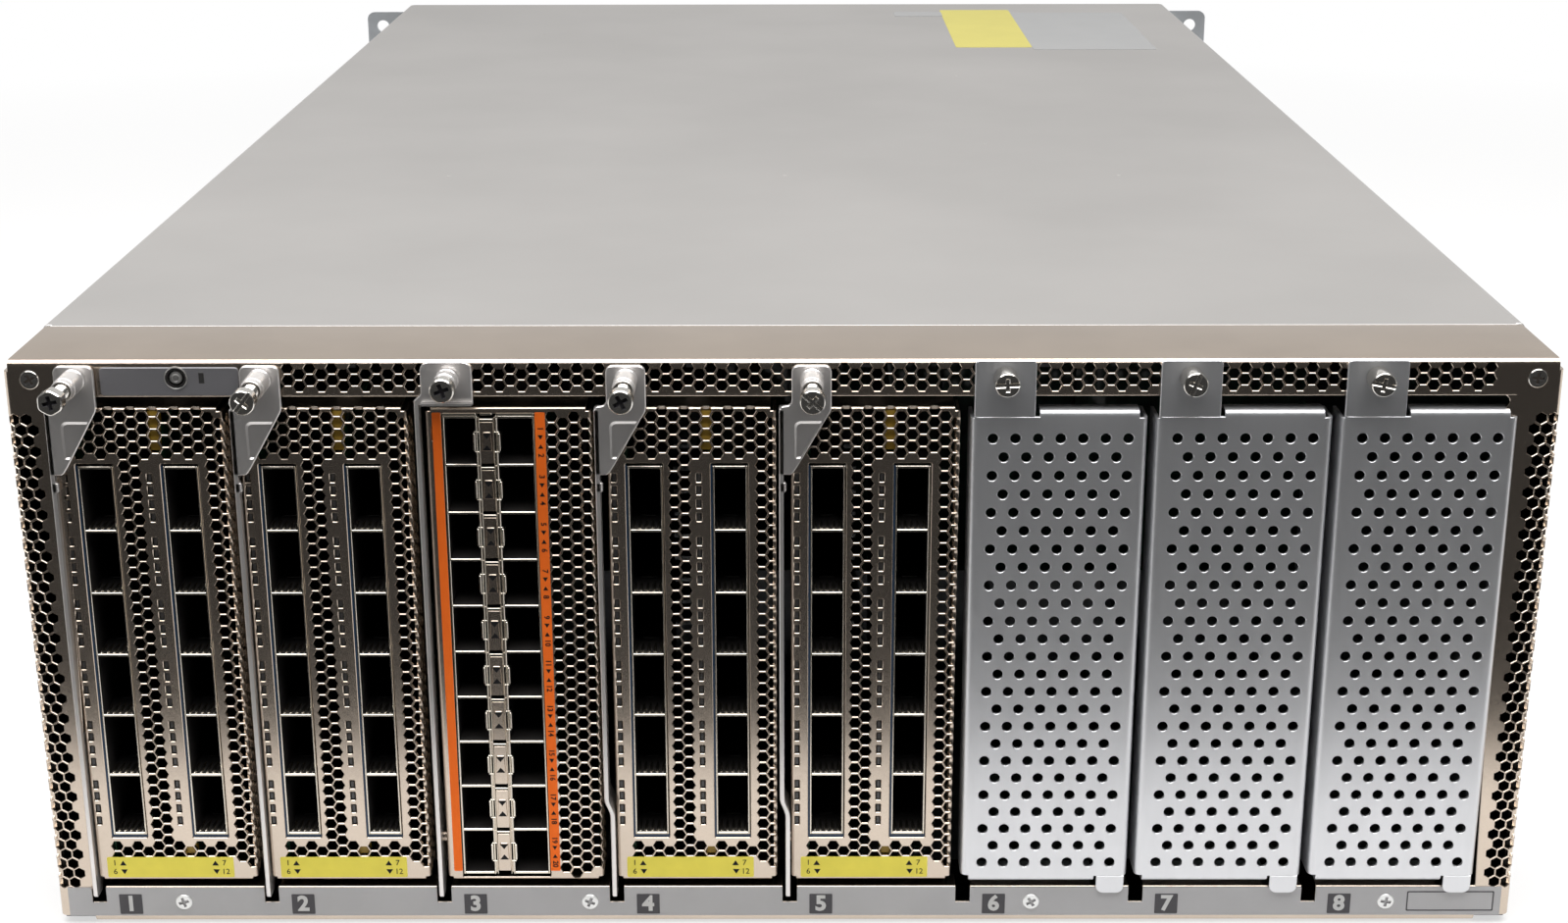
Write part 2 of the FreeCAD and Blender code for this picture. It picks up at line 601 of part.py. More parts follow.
def make_boards(slot, first, second):
    """Circuit boards of one module with the plug for the midplane and a heat sink."""
    back = "TrayDepth"
    members = [
        new_box(f"board_{slot}", f"{first} - Board", "BoardFront", "BoardLow", first, back, "BoardHigh"),
        new_box(f"mezzanine_{slot}", f"{second} - Board", "BoardFront", "BoardLow + 2", second,
                "MezzanineDepth", "BoardHigh - 2"),
        new_box(f"plug_{slot}", first, f"{back} - HeaderDepth", "HeaderLow + 2",
                f"{first} + HeaderWide", f"{back} + HeaderDepth", "HeaderHigh - 2"),
        heat_sink(slot, first, "SinkFront", "SinkLow"),
    ]
    new_group(f"port_boards_{slot}", members, slot_x(slot))


def make_wide_module(slot):
    """Module with two columns of six wide ports."""
    reach = "WideRows*WidePitch"
    windows, cages = [], []
    for number in range(2):
        left = f"WideFirst + {number}*WideColumns"
        edge = "(CageWall + Gap)"
        windows.append(rectangle(f"{left} - {edge}", f"WideLow - CageDivider/2 - {edge}",
                                 f"{left} + WideInner + {edge}",
                                 f"WideLow + {reach} + CageDivider/2 + {edge}"))
        cages += cage_column(slot, number, left, "WideInner", "WideLow", "WidePitch", "WideRows")
    make_tray(slot, "WideFaceLeft", "WideFaceRight", windows)
    new_group(f"port_cages_{slot}", cages, slot_x(slot))
    make_boards(slot, "WideFirst - CageWall", "WideFirst + WideColumns - CageWall")
    make_wide_lever(slot)
    make_screw(slot, "HeadFront", "HeadLength", "-0.4")


def make_slim_module(slot):
    """Module with two columns of ten narrow ports and a latch spine between them."""
    reach = "SlimRows*SlimPitch"
    second = "SlimFirst + SlimInner + Spine"
    edge = "(CageWall + Gap)"
    right = f"{second} + SlimInnerRight"
    bottom, top = "SlimLow - CageDivider/2", f"SlimLow + {reach} + CageDivider/2"
    window = rectangle(f"SlimFirst - {edge}", f"{bottom} - {edge}", f"{right} + {edge}", f"{top} + {edge}")
    make_tray(slot, "SlimFaceLeft", "SlimFaceRight", [window])
    cages = cage_column(slot, 0, "SlimFirst", "SlimInner", "SlimLow", "SlimPitch", "SlimRows")
    cages += cage_column(slot, 1, second, "SlimInnerRight", "SlimLow", "SlimPitch", "SlimRows")
    cages.append(new_box(f"spine_{slot}", "SlimFirst + SlimInner + CageWall", "CageFront", bottom,
                         f"{second} - CageWall", "CageFront + CageDepth", top))
    new_group(f"port_cages_{slot}", cages, slot_x(slot))
    make_boards(slot, "SlimFirst - CageWall", f"{right} + CageWall + Board")
    make_slim_lever(slot)
    make_screw(slot, "SeatedFront", "SeatedEnd - Gap - SeatedFront", "TipBack")


def add_bar(body, left, high):
    """The lever's upright bar with its pivot hole and toe; its upper part may be stepped sideways."""
    if left == "LeverLeft":
        bar = rectangle(left, "ToeLow", f"{left} + LeverSheet", high)
    else:
        bar = [
            ("LeverLeft", "ToeLow"), ("LeverLeft + LeverSheet", "ToeLow"),
            ("LeverLeft + LeverSheet", "JogLow"), (f"{left} + LeverSheet", "JogHigh"),
            (f"{left} + LeverSheet", high), (left, high), (left, "JogHigh"), ("LeverLeft", "JogLow"),
        ]
    pad(body, "XZ", "LeverFront", "BarDepth + 2 - LeverFront", bar)
    # the bar is deepest round its pivot and slims down towards its upper end
    behind, above = "BarDepth + 3", f"{high} + 1"
    slim = [("4.5", "46"), (behind, "40"), (behind, above), ("2.5", above)]
    foot = [(behind, "ToeLow - 1"), (behind, "22"), ("4", "ToeLow - 1")]
    pin = ("PivotDepth", "PivotLevel", "PivotRadius + Gap/2")
    for cut in (slim, foot, pin):
        pocket(body, "YZ", "-8", "12", cut)


def add_ferrule(body, across, end, bore):
    """Ferrule pressed into the lever's ear, with a clear bore for the screw."""
    barrel = (across, "ScrewLevel", "FerruleRadius")
    pad(body, "XZ", end, f"LeverFront - ({end})", barrel)
    pocket(body, "XZ", f"{end} - 1", f"8 - ({end})", ring(bore, ROUND, across, "ScrewLevel"))


def make_wide_lever(slot):
    """Ejector lever with a triangular grip plate, an ear over the bezel and a long bar down to the toe."""
    body = new_body(f"ejector_lever_{slot}", slot_x(slot))
    edge = bar_left(slot)
    ear_left, ear_right = f"{edge} + EarLeft", f"{edge} + EarRight"
    grip = [
        (edge, "GripLow"), (f"{edge} + 3.4", "GripLow"), (f"{edge} + 5", "GripLow + 2"),
        (ear_right, "FaceHigh + 0.4"), (ear_right, "LeverTop"), (ear_left, "LeverTop"),
        (ear_left, "FaceHigh"), (edge, "FaceHigh"),
    ]
    pad(body, "XZ", "LeverFront", "LeverSheet", grip)
    add_bar(body, edge, "FaceHigh")
    dent = [(f"{edge} + 4.6", "GripLow + 15.7"), (f"{edge} + 12.2", "GripLow + 15.7"),
            (f"{edge} + 5.6", "GripLow + 5")]
    pocket(body, "XZ", "LeverFront - 1", "1.4", dent)
    add_ferrule(body, screw_x(slot), "FerruleEnd", "NeckRadius + Gap")
    round_corners(body, 1, "2.2", (ear_left, "LeverTop"), (ear_right, "LeverTop"), (ear_left, "FaceHigh"))


def make_slim_lever(slot):
    """Ejector lever whose bar carries only a square ear with a lip turned forward at its foot."""
    body = new_body(f"ejector_lever_{slot}", slot_x(slot))
    low = "(FaceHigh + 1.2)"
    ear = [
        ("LeverLeft", low), ("SlimEarRight", low), ("SlimEarRight", "BodyHeight - 2"),
        ("SlimEarRight - 2", "BodyHeight"), ("SlimEarLeft + 2", "BodyHeight"),
        ("SlimEarLeft", "BodyHeight - 2"), ("SlimEarLeft", f"{low} + 3"), ("LeverLeft", f"{low} + 1.2"),
    ]
    pad(body, "XZ", "LeverFront", "LeverSheet", ear)
    lip = rectangle("SlimEarLeft", low, "SlimEarRight", f"{low} + LeverSheet")
    pad(body, "XZ", "LeverFront - 1.5", "1.6", lip)
    add_bar(body, "LeverLeft", f"{low} + 0.6")
    add_ferrule(body, "ScrewAcross", "SeatedEnd", "NeckRadius + Gap")


def make_screw(slot, front, length, tip):
    """Captive screw: a hexagonal head and a neck that runs back to the tip."""
    body = new_body(f"captive_screw_{slot}", f"{slot_x(slot)} + {screw_x(slot)}", "0", "ScrewLevel")
    pad(body, "XZ", front, length, ring("HeadRadius", 6))
    shoulder = f"({front} + {length})"
    pad(body, "XZ", shoulder, f"{tip} - {shoulder}", ring("NeckRadius", ROUND))


# ---------------------------------------------------------------- blank panels

def make_blank(slot):
    """Blank panel: face with a folded rim, a tab under its screw and a hook over the bezel's foot."""
    body = new_body(f"blank_panel_{slot}", slot_x(slot))
    tab_left, tab_right = "BlankLeft + 0.9", "BlankLeft + 0.9 + BlankTab"
    face = [
        ("BlankLeft", "FaceLow"), ("HookLeft", "FaceLow"), ("HookLeft", "HookLow"),
        ("HookRight", "HookLow"), ("HookRight", "FaceLow"), ("BlankRight", "FaceLow"),
        ("BlankRight", "BlankHigh"), (tab_right, "BlankHigh"), (tab_right, "BodyHeight"),
        (tab_left, "BodyHeight"), (tab_left, "BlankHigh"), ("BlankLeft", "BlankHigh"),
    ]
    hole = ring("NeckRadius + Gap", ROUND, "ScrewAcross", "ScrewLevel")
    pad(body, "XZ", "BlankFront", "FaceSheet", face, hole)
    rim = rectangle("BlankLeft", "FaceLow", "BlankRight", "BlankHigh")
    hollow = rectangle("BlankLeft + FaceSheet", "FaceLow + FaceSheet", "BlankRight - FaceSheet",
                       "BlankHigh - FaceSheet")
    pad(body, "XZ", "BlankFront", "PanDepth", rim, hollow)
    round_corners(body, 1, "2", ("HookLeft", "HookLow"), ("HookRight", "HookLow"))
    make_screw(slot, "BlankHead", "BlankFront - Gap - BlankHead", "TipBack")


# ---------------------------------------------------------------- back of the chassis

def fan_x(bay):
    return f"({bay} - 2.5)*FanPitch"


def supply_x(bay):
    return f"SupplyFirst + {bay - 1}*SupplyPitch"


def make_back_frame():
    """Plate across the back with a bay for each fan module, each supply and the management panel."""
    body = new_body("rear_frame")
    half = "(BodyWidth/2 - 2*Sheet - Gap)"
    outline = rectangle(f"-{half}", "Sheet + Gap", half, "BodyHeight - 2*Sheet - Gap")
    bays = []
    for bay in BAYS:
        bays.append(rectangle(f"{fan_x(bay)} - FanWide/2 - Gap", "FanLow - Gap",
                              f"{fan_x(bay)} + FanWide/2 + Gap", "FanLow + FanTall + Gap"))
        bays.append(rectangle(f"{supply_x(bay)} - SupplyWide/2 - Gap", "SupplyLow - Gap",
                              f"{supply_x(bay)} + SupplyWide/2 + Gap", "SupplyLow + SupplyTall + Gap"))
    panel = "SupplyFirst - SupplyPitch"
    bays.append(rectangle(f"{panel} - SupplyWide/2 + 4", "SupplyLow", f"{panel} + SupplyWide/2 - 4",
                          "SupplyLow + SupplyTall"))
    pad(body, "XZ", "BackPlane", "Sheet", outline, *bays)


def make_management_panel():
    """Fixed panel at the back with two cable sockets and a smaller one."""
    body = new_body("management_panel", "SupplyFirst - SupplyPitch")
    half = "(SupplyWide/2)"
    pad(body, "XZ", "BackPlane + Sheet", "Sheet", rectangle(f"-{half}", "SupplyLow - 2", half,
                                                           "SupplyLow + SupplyTall + 2"))
    box = rectangle(f"-{half} + 6", "SupplyLow + 2", f"{half} - 6", "SupplyLow + SupplyTall - 2")
    pad(body, "XZ", "BackPlane - PanelDepth", "PanelDepth + Sheet", box)
    top = "SocketLow + SocketSize"
    sockets = [rectangle(left, "SocketLow", f"{left} + SocketSize", top) for left in ("-24", "-6")]
    sockets.append(rectangle("14", "SocketLow", "14 + SocketSize/2", top))
    pocket(body, "XZ", "BackPlane - SocketSize", "SocketSize + 6", *sockets)


def add_bail(body, left, right, low, high, front):
    """Square bail handle: a loop of bar that stands out to the back."""
    inside, near_left, near_right = "HandleReach - Bail", f"{left} + Bail", f"{right} - Bail"
    loop = [
        (left, "HandleReach"), (right, "HandleReach"), (right, front), (near_right, front),
        (near_right, inside), (near_left, inside), (near_left, front), (left, front),
    ]
    pad(body, "XY", low, f"({high}) - ({low})", loop)


def make_fan(bay):
    """Fan module: housing with a round bore, plate and bail, and a guard that carries the motor."""
    level = "FanLow + FanTall/2"
    wide, tall = "FanWide/2", "FanTall/2"
    front, plate = "BackPlane + Sheet - FanDepth", "(BackPlane + Sheet)"
    bore = ring("FanBore", 32)
    housing = doc.addObject("PartDesign::Body", f"fan_housing_{bay}")
    pad(housing, "XZ", front, "FanDepth", rectangle(f"-{wide}", f"-{tall}", wide, tall), bore)
    lap = rectangle(f"-{wide} - FanFlange", f"-{tall} - FanFlange", f"{wide} + FanFlange",
                    f"{tall} + FanFlange")
    pad(housing, "XZ", plate, "Sheet", lap, bore)
    low = f"-{tall} - FanFlange"
    add_bail(housing, "-FanBail", "FanBail", low, f"{low} + BailTall", plate)
    guard = doc.addObject("PartDesign::Body", f"fan_guard_{bay}")
    arm, reach, face = "SpiderArm/2", "(FanBore + 3)", f"{plate} + Sheet"
    pad(guard, "XZ", face, "GuardSheet", rectangle(f"-{reach}", f"-{arm}", reach, arm))
    pad(guard, "XZ", face, "GuardSheet", rectangle(f"-{arm}", f"-{reach}", arm, reach))
    pad(guard, "XZ", f"{face} - MotorDepth", "MotorDepth + GuardSheet", ring("FanHub", 14))
    new_group(f"fan_frame_{bay}", [housing, guard], fan_x(bay), level)
    make_rotor(bay, f"{face} - MotorDepth - Gap - HubHalf", level)


def make_rotor(bay, depth, level):
    """Axial rotor: a hub with a pattern of pitched blades."""
    body = new_body(f"fan_rotor_{bay}", fan_x(bay), depth, level)
    pad(body, "XZ", "-HubHalf", "2*HubHalf", ring("FanHub", 14))
    blade = pad(body, "YZ", "FanHub - 3", "FanTip - FanHub", blade_section())
    blades = body.newObject("PartDesign::PolarPattern", f"{body.Name}_blades")
    blades.Originals = [blade]
    blades.Axis = (datum(body, "Y_Axis"), [""])
    blades.Angle = 360
    blades.setExpression("Occurrences", bound("FanBlades"))
    body.Tip = blades


def blade_section():
    """Section of a blade at its pitch, as a slim parallelogram round the radius line."""
    along, up = "BladeChord/2*cos(BladePitch)", "BladeChord/2*sin(BladePitch)"
    return [(f"-{along}", f"-{up}"), (f"-{along} + BladeSheet", f"-{up}"), (along, up),
            (f"{along} - BladeSheet", up)]


def make_supply(bay):
    """Power supply: case, mains inlet with three pins, exhaust recess and a bail handle."""
    body = new_body(f"power_supply_{bay}", supply_x(bay))
    half, low, high = "(SupplyWide/2)", "SupplyLow", "(SupplyLow + SupplyTall)"
    face = "(BackPlane + 3*Sheet)"
    pad(body, "XZ", f"{face} - SupplyDepth", "SupplyDepth", rectangle(f"-{half}", low, half, high))
    inlet_left, middle = f"(-{half} + InletEdge)", "(SupplyLow + SupplyTall/2 - 4)"
    inlet = rectangle(inlet_left, f"{middle} - InletTall/2", f"{inlet_left} + InletWide",
                      f"{middle} + InletTall/2")
    pocket(body, "XZ", f"{face} - InletDepth", "InletDepth + 1", inlet)
    centre = f"{inlet_left} + InletWide/2"
    pins = []
    for across, up in (("-7", "-2"), ("0", "3"), ("7", "-2")):
        pins.append(rectangle(f"{centre} + {across} - 1", f"{middle} + {up} - 2.5",
                              f"{centre} + {across} + 1", f"{middle} + {up} + 2.5"))
    pad(body, "XZ", f"{face} - InletDepth - 1", "InletDepth - 2", *pins)
    exhaust = rectangle(f"{half} - ExhaustWide - 5", f"{low} + 5", f"{half} - 5", f"{low} + ExhaustTall")
    pocket(body, "XZ", f"{face} - 3", "4", exhaust)
    add_bail(body, "-22", "14", f"{high} - 7", f"{high} - 3", face)
    make_latch(bay, face)


def make_latch(bay, face):
    """Latch of a power supply: a tongue with a cranked end that is pushed sideways."""
    side, level = f"{supply_x(bay)} + SupplyWide/2 - 5", "SupplyLow + SupplyTall - 8"
    body = new_body(f"supply_latch_{bay}", side, face, level)
    pad(body, "XY", "0", "LatchTall", ring("LatchPivot - Gap", ROUND, "0", "LatchPivot"))
    end, root = "LatchReach", "LatchPivot"
    tongue = [("-1.5", root), ("1.5", root), ("1.5", end), ("-3.5", end), ("-3.5", f"{end} - 3"),
              ("-1.5", f"{end} - 5")]
    pad(body, "XY", "0", "LatchTall", tongue)


# ---------------------------------------------------------------- build, test and write

def build():
    make_base()
    make_cover()
    make_bezel()
    make_label_strip()
    make_id_plate()
    make_button()
    make_rails()
    make_midplane()
    make_ear("rack_ear_left", -1)
    make_ear("rack_ear_right", 1)
    for slot in WIDE_SLOTS:
        make_wide_module(slot)
    make_slim_module(SLIM_SLOT)
    for slot in BLANK_SLOTS:
        make_blank(slot)
    make_back_frame()
    make_management_panel()
    for bay in BAYS:
        make_fan(bay)
        make_supply(bay)
    doc.recompute()


def check():
    """Stop if a feature failed, a pocket cut nothing, or a sub-part has no sound shape."""
    for thing in doc.Objects:
        if "Invalid" in thing.State or "Error" in thing.State:
            raise RuntimeError(f"{thing.Name} failed")
        if thing.TypeId == "PartDesign::Pocket":
            if thing.Shape.Volume > thing.BaseFeature.Shape.Volume - 0.01:
                raise RuntimeError(f"{thing.Name} cuts nothing")
    for name, thing in nodes.items():
        if thing.Shape.isNull() or not thing.Shape.isValid():
            raise RuntimeError(f"{name} has no valid shape")


def write():
    os.makedirs("parts", exist_ok=True)
    for name, thing in nodes.items():
        thing.Shape.exportStep(f"parts/{name}.step")


build()
check()
write()
print(len(nodes), "sub-parts written")
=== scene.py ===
"""Looks of the modular chassis switch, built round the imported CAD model.

Helpers draw in millimetres. A sheet is drawn flat as (u, v), with h as the depth behind its outer face, and
is then folded and laid in place. Y counts back from the bezel's front face, which lies at FACE.
"""

import math
from types import SimpleNamespace

import bmesh
import bpy
from mathutils import Matrix, Vector, geometry


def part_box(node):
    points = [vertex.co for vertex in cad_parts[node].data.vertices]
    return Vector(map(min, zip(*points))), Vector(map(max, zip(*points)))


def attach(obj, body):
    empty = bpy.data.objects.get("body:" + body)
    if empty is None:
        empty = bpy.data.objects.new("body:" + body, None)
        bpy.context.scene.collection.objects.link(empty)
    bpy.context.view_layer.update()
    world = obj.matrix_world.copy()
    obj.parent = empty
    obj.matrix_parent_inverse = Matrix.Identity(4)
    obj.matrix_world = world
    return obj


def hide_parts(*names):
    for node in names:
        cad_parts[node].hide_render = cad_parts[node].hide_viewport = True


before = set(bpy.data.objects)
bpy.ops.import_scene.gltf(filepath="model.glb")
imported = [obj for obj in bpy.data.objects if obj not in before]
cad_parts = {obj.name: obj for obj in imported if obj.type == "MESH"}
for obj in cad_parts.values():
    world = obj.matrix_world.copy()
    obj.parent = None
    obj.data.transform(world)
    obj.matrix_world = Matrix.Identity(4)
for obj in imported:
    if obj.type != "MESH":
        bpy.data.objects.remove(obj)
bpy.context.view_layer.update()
MM = 0.001


def mid(name):
    low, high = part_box(name)
    return (low + high) / 2 / MM


def low_of(name):
    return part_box(name)[0] / MM


def high_of(name):
    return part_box(name)[1] / MM


FACE = low_of("front_bezel").y
HALF = high_of("top_cover").x
HEIGHT = high_of("top_cover").z
DEPTH = high_of("top_cover").y - FACE
PITCH = mid("captive_screw_7").x - mid("captive_screw_6").x
NOTCH_6 = low_of("blank_panel_6").x + 0.9
WIDE_SLOTS, SLIM_SLOT, BLANK_SLOTS = (1, 2, 4, 5), 3, (6, 7, 8)
JOGGED_SLOTS = (4, 5)
SLOTS = range(1, 9)
BAYS = (1, 2, 3, 4)
SCREW_LEVEL = mid("captive_screw_6").z


def notch(slot):
    """Centre of a slot's lever notch."""
    return NOTCH_6 + (slot - 6) * PITCH


# ---------------------------------------------------------------- materials

def node(tree, kind, inputs=(), **settings):
    """A new node: its settings, then for each input a constant value or the socket that feeds it."""
    made = tree.nodes.new("ShaderNode" + kind)
    for key, value in settings.items():
        setattr(made, key, value)
    for key, value in dict(inputs).items():
        if isinstance(value, bpy.types.NodeSocket):
            tree.links.new(value, made.inputs[key])
        else:
            made.inputs[key].default_value = value
    return made


def maths(tree, operation, one, two):
    return node(tree, "Math", {0: one, 1: two}, operation=operation).outputs["Value"]


def ramp(tree, source, stops):
    """Two colours blended over a value: stops are (position, colour)."""
    made = node(tree, "ValToRGB", {"Fac": source})
    for element, (position, colour) in zip(made.color_ramp.elements, stops):
        element.position = position
        element.color = (*colour, 1)
    return made.outputs["Color"]


def finish_of(name, colour, rough, metal=0.0, spec=0.5, coat=0.0, tint=0.06, blotch=60, grain=2500, span=0.06,
              depth=0.004, stretch=(1, 1, 1), bump=0.35):
    """A finish with blotches in its colour, and a fine grain in its roughness and relief."""
    made = bpy.data.materials.new(name)
    made.use_nodes = True
    made.diffuse_color = (*colour, 1)
    tree = made.node_tree
    sockets = tree.nodes["Principled BSDF"].inputs
    sockets["Base Color"].default_value = (*colour, 1)
    sockets["Roughness"].default_value = rough
    sockets["Metallic"].default_value = metal
    sockets["Specular IOR Level"].default_value = spec
    sockets["Coat Weight"].default_value = coat
    place = node(tree, "TexCoord").outputs["Object"]
    place = node(tree, "Mapping", {"Vector": place, "Scale": stretch}).outputs["Vector"]
    clouds = node(tree, "TexNoise", {"Vector": place, "Scale": blotch, "Detail": 5}).outputs["Fac"]
    shades = [[min(1, c * share) for c in colour] for share in (1 - tint, 1 + tint)]
    tree.links.new(ramp(tree, clouds, zip((0.3, 0.7), shades)), sockets["Base Color"])
    fine = node(tree, "TexNoise", {"Vector": place, "Scale": grain, "Detail": 3}).outputs["Fac"]
    gloss = node(tree, "MapRange", {"Value": fine, "To Min": rough - span, "To Max": rough + span})
    tree.links.new(gloss.outputs["Result"], sockets["Roughness"])
    relief = node(tree, "Bump", {"Height": fine, "Strength": bump, "Distance": depth * MM})
    tree.links.new(relief.outputs["Normal"], sockets["Normal"])
    return made


GALVANISED = dict(colour=(0.56, 0.58, 0.60), rough=0.42, metal=1, tint=0.10, blotch=70, grain=1500)
NICKEL = finish_of("nickel_steel", (0.64, 0.545, 0.455), 0.24, metal=1, blotch=28, grain=1500, bump=0.2)
CAGE = finish_of("nickel_cage", (0.82, 0.76, 0.66), 0.24, metal=1, grain=1800)
LID = finish_of("lid_steel", (0.60, 0.58, 0.56), 0.45, metal=1, tint=0.05, blotch=9, grain=2600, depth=0.008)
ZINC = finish_of("galvanised", **GALVANISED)
BLANK = finish_of("blank_steel", (0.76, 0.765, 0.785), 0.36, metal=0.8, blotch=50, grain=900,
                  stretch=(1, 1, 0.12), span=0.08)
LEVER = finish_of("zinc_steel", (0.82, 0.79, 0.77), 0.33, metal=0.78, grain=1500)
SCREW = finish_of("screw_steel", (0.78, 0.75, 0.70), 0.22, metal=1, tint=0.08, blotch=220, grain=3000)
WHITE_ZINC = finish_of("white_zinc", (0.88, 0.88, 0.87), 0.35, metal=0.6, tint=0.04, blotch=400, grain=3000)
GREY_LABEL = finish_of("grey_label", (0.43, 0.425, 0.43), 0.55, tint=0.03)
PLATE = finish_of("grey_plate", (0.29, 0.285, 0.30), 0.42, metal=0.5, tint=0.04)
# dark tiles and label frame, and also painted shade in screw recesses
TILE = finish_of("dark_tile_and_recess_shade", (0.055, 0.052, 0.058), 0.5, tint=0.05, blotch=200)
NUMERAL = finish_of("numeral", (0.56, 0.56, 0.55), 0.5, tint=0.04, blotch=300)
YELLOW = finish_of("yellow_label", (0.82, 0.71, 0.10), 0.55, spec=0.25, tint=0.05, blotch=120)
AMBER = finish_of("amber_tape", (0.42, 0.27, 0.03), 0.5, tint=0.1, blotch=200)
ORANGE = finish_of("orange_label", (1.0, 0.17, 0.012), 0.6, spec=0.25, tint=0.05, blotch=120)
INK = finish_of("ink", (0.008, 0.008, 0.009), 0.6, spec=0.2, tint=0.1, blotch=300)
GASKET = finish_of("blue_gasket", (0.012, 0.035, 0.075), 0.4, tint=0.15, blotch=100)
# dark plastic of the sockets, and also painted shade on the steel inside the cages
DARK_AND_SHADE = finish_of("dark_plastic_and_painted_shade", (0.020, 0.018, 0.017), 0.5, tint=0.2, blotch=150, grain=1500)
GOLD = finish_of("gold_contact", (0.75, 0.52, 0.20), 0.3, metal=1, tint=0.05, blotch=300)
LENS = finish_of("lamp_lens", (0.045, 0.043, 0.042), 0.25, tint=0.1, blotch=400, coat=0.3)
PALE_LABEL = finish_of("pale_label", (0.307, 0.307, 0.305), 0.5, tint=0.02)
BRIGHT_YELLOW = finish_of("yellow_sticker", (0.51, 0.452, 0.102), 0.5, tint=0.03)
BOARD = finish_of("circuit_board", (0.010, 0.075, 0.038), 0.38, tint=0.35, blotch=260, grain=1800, coat=0.3)
BLACK = finish_of("black_plastic", (0.020, 0.020, 0.022), 0.42, tint=0.15, blotch=120, grain=1700, depth=0.02)
ALUMINIUM = finish_of("aluminium", (0.72, 0.73, 0.74), 0.38, metal=0.9, blotch=100, grain=1800)
ROTOR = finish_of("rotor_plastic", (0.030, 0.031, 0.034), 0.36, tint=0.12, blotch=90, grain=1700, depth=0.02)
LAMP_GREEN = finish_of("green_lamp", (0.05, 0.30, 0.10), 0.25, tint=0.1, blotch=400, coat=0.3)
BUTTON = finish_of("button_cap", (0.55, 0.54, 0.52), 0.3, metal=0.8, blotch=300)


# ---------------------------------------------------------------- mesh helpers, in millimetres

MITRE_LIMIT, EDGE_MARGIN = 0.35, 0.35
RECESS_ARM, RECESS_REACH = 0.17, 0.62


def inside(point, loop):
    """True if a point lies inside a closed loop."""
    x, y = point
    within = False
    for (x0, y0), (x1, y1) in zip(loop, loop[1:] + loop[:1]):
        if (y0 > y) != (y1 > y) and x < (x1 - x0) * (y - y0) / (y1 - y0) + x0:
            within = not within
    return within


def area_of(loop):
    return sum(a[0] * b[1] - b[0] * a[1] for a, b in zip(loop, loop[1:] + loop[:1])) / 2


def offset(loop, distance):
    """The loop moved outward by a distance, mitred at its corners."""
    sense = 1 if area_of(loop) > 0 else -1
    moved = []
    for before, here, after in zip(loop[-1:] + loop[:-1], loop, loop[1:] + loop[:1]):
        one = (Vector(here) - Vector(before)).normalized()
        two = (Vector(after) - Vector(here)).normalized()
        normal = Vector((one.y + two.y, -one.x - two.x)) * sense
        size = 1 + one.dot(two)
        moved.append(tuple(Vector(here) + normal * (distance / max(size, MITRE_LIMIT))))
    return moved


def fill(outline, holes):
    """Triangles between an outline and its holes, as indices into the loops laid end to end."""
    loops = [outline] + holes
    points, edges, owner = [], [], []
    for index, loop in enumerate(loops):
        first = len(points)
        points += [Vector(p) for p in loop]
        owner += [index] * len(loop)
        edges += [(first + i, first + (i + 1) % len(loop)) for i in range(len(loop))]
    found = geometry.delaunay_2d_cdt(points, edges, [], 1, 1e-6, True)
    if any(len(o) != 1 for o in found[3]):
        bad = [tuple(round(c, 2) for c in found[0][i]) for i, o in enumerate(found[3]) if len(o) != 1]
        raise RuntimeError(f"loops of a sheet cross at {bad[:6]}")
    source = [o[0] for o in found[3]]
    triangles = []
    for face in found[2]:
        face = [source[i] for i in face]
        owners = {owner[i] for i in face}
        if len(owners) == 1:
            # all three corners lie on one loop, so it may be outside the sheet or in a hole
            own = max(owners)
            centre = sum((points[i] for i in face), Vector((0, 0))) / 3
            if not inside(centre, outline) or own and inside(centre, holes[own - 1]):
                continue
        triangles.append(face)
    return triangles


def strip(bm, first, second, mat=0):
    """Faces between two rings of vertices."""
    count = len(first)
    for i in range(count):
        corners = [first[i], first[(i + 1) % count], second[(i + 1) % count], second[i]]
        try:
            bm.faces.new(corners).material_index = mat
        except ValueError:
            pass


def plate(bm, outline, holes=(), thick=1.0, bevel=0.0, start=0.0, mat=0, dents=()):
    """A flat sheet in (u, h, v): its outer face at depth start, its edges eased by bevel. Holes that come too
    near its edge are left out. A dent is a loop, how deep it goes, its floor (a loop, or how far it draws in)
    and its material."""
    outline, holes = list(outline), [list(h) for h in holes]
    if area_of(outline) < 0:
        outline.reverse()
    holes = [h if area_of(h) > 0 else h[::-1] for h in holes]
    holes = [h for h in holes if all(inside(p, outline) for p in offset(h, EDGE_MARGIN))]
    lows = [list(d[0]) for d in dents]
    floors = [offset(d[0], -d[2]) if isinstance(d[2], float) else list(d[2]) for d in dents]
    for low, floor_loop in zip(lows, floors):
        if area_of(low) < 0:
            low.reverse()
            floor_loop.reverse()
    front = [offset(outline, -bevel)] + [offset(h, bevel) for h in holes] + lows

    def layer(loops, depth):
        return [[bm.verts.new((u, depth, v)) for u, v in loop] for loop in loops]

    def cover(rings, loops, paint=mat):
        flat = [v for ring in rings for v in ring]
        for face in fill(loops[0], loops[1:]):
            bm.faces.new([flat[i] for i in face]).material_index = paint

    rings = layer(front, start)
    cover(rings, front)
    nominal = [outline] + holes
    upper = layer(nominal, start + bevel) if bevel else rings[:len(nominal)]
    lower = layer(nominal, start + thick)
    for near, far, back in zip(rings, upper, lower):
        if bevel:
            strip(bm, near, far, mat)
        strip(bm, far, back, mat)
    cover(lower, nominal)
    for ring, floor_loop, dent in zip(rings[len(nominal):], floors, dents):
        paint = dent[3] if len(dent) > 3 else mat
        floor_ring = layer([floor_loop], start + dent[1])
        strip(bm, ring, floor_ring[0], paint)
        cover(floor_ring, [floor_loop], paint)


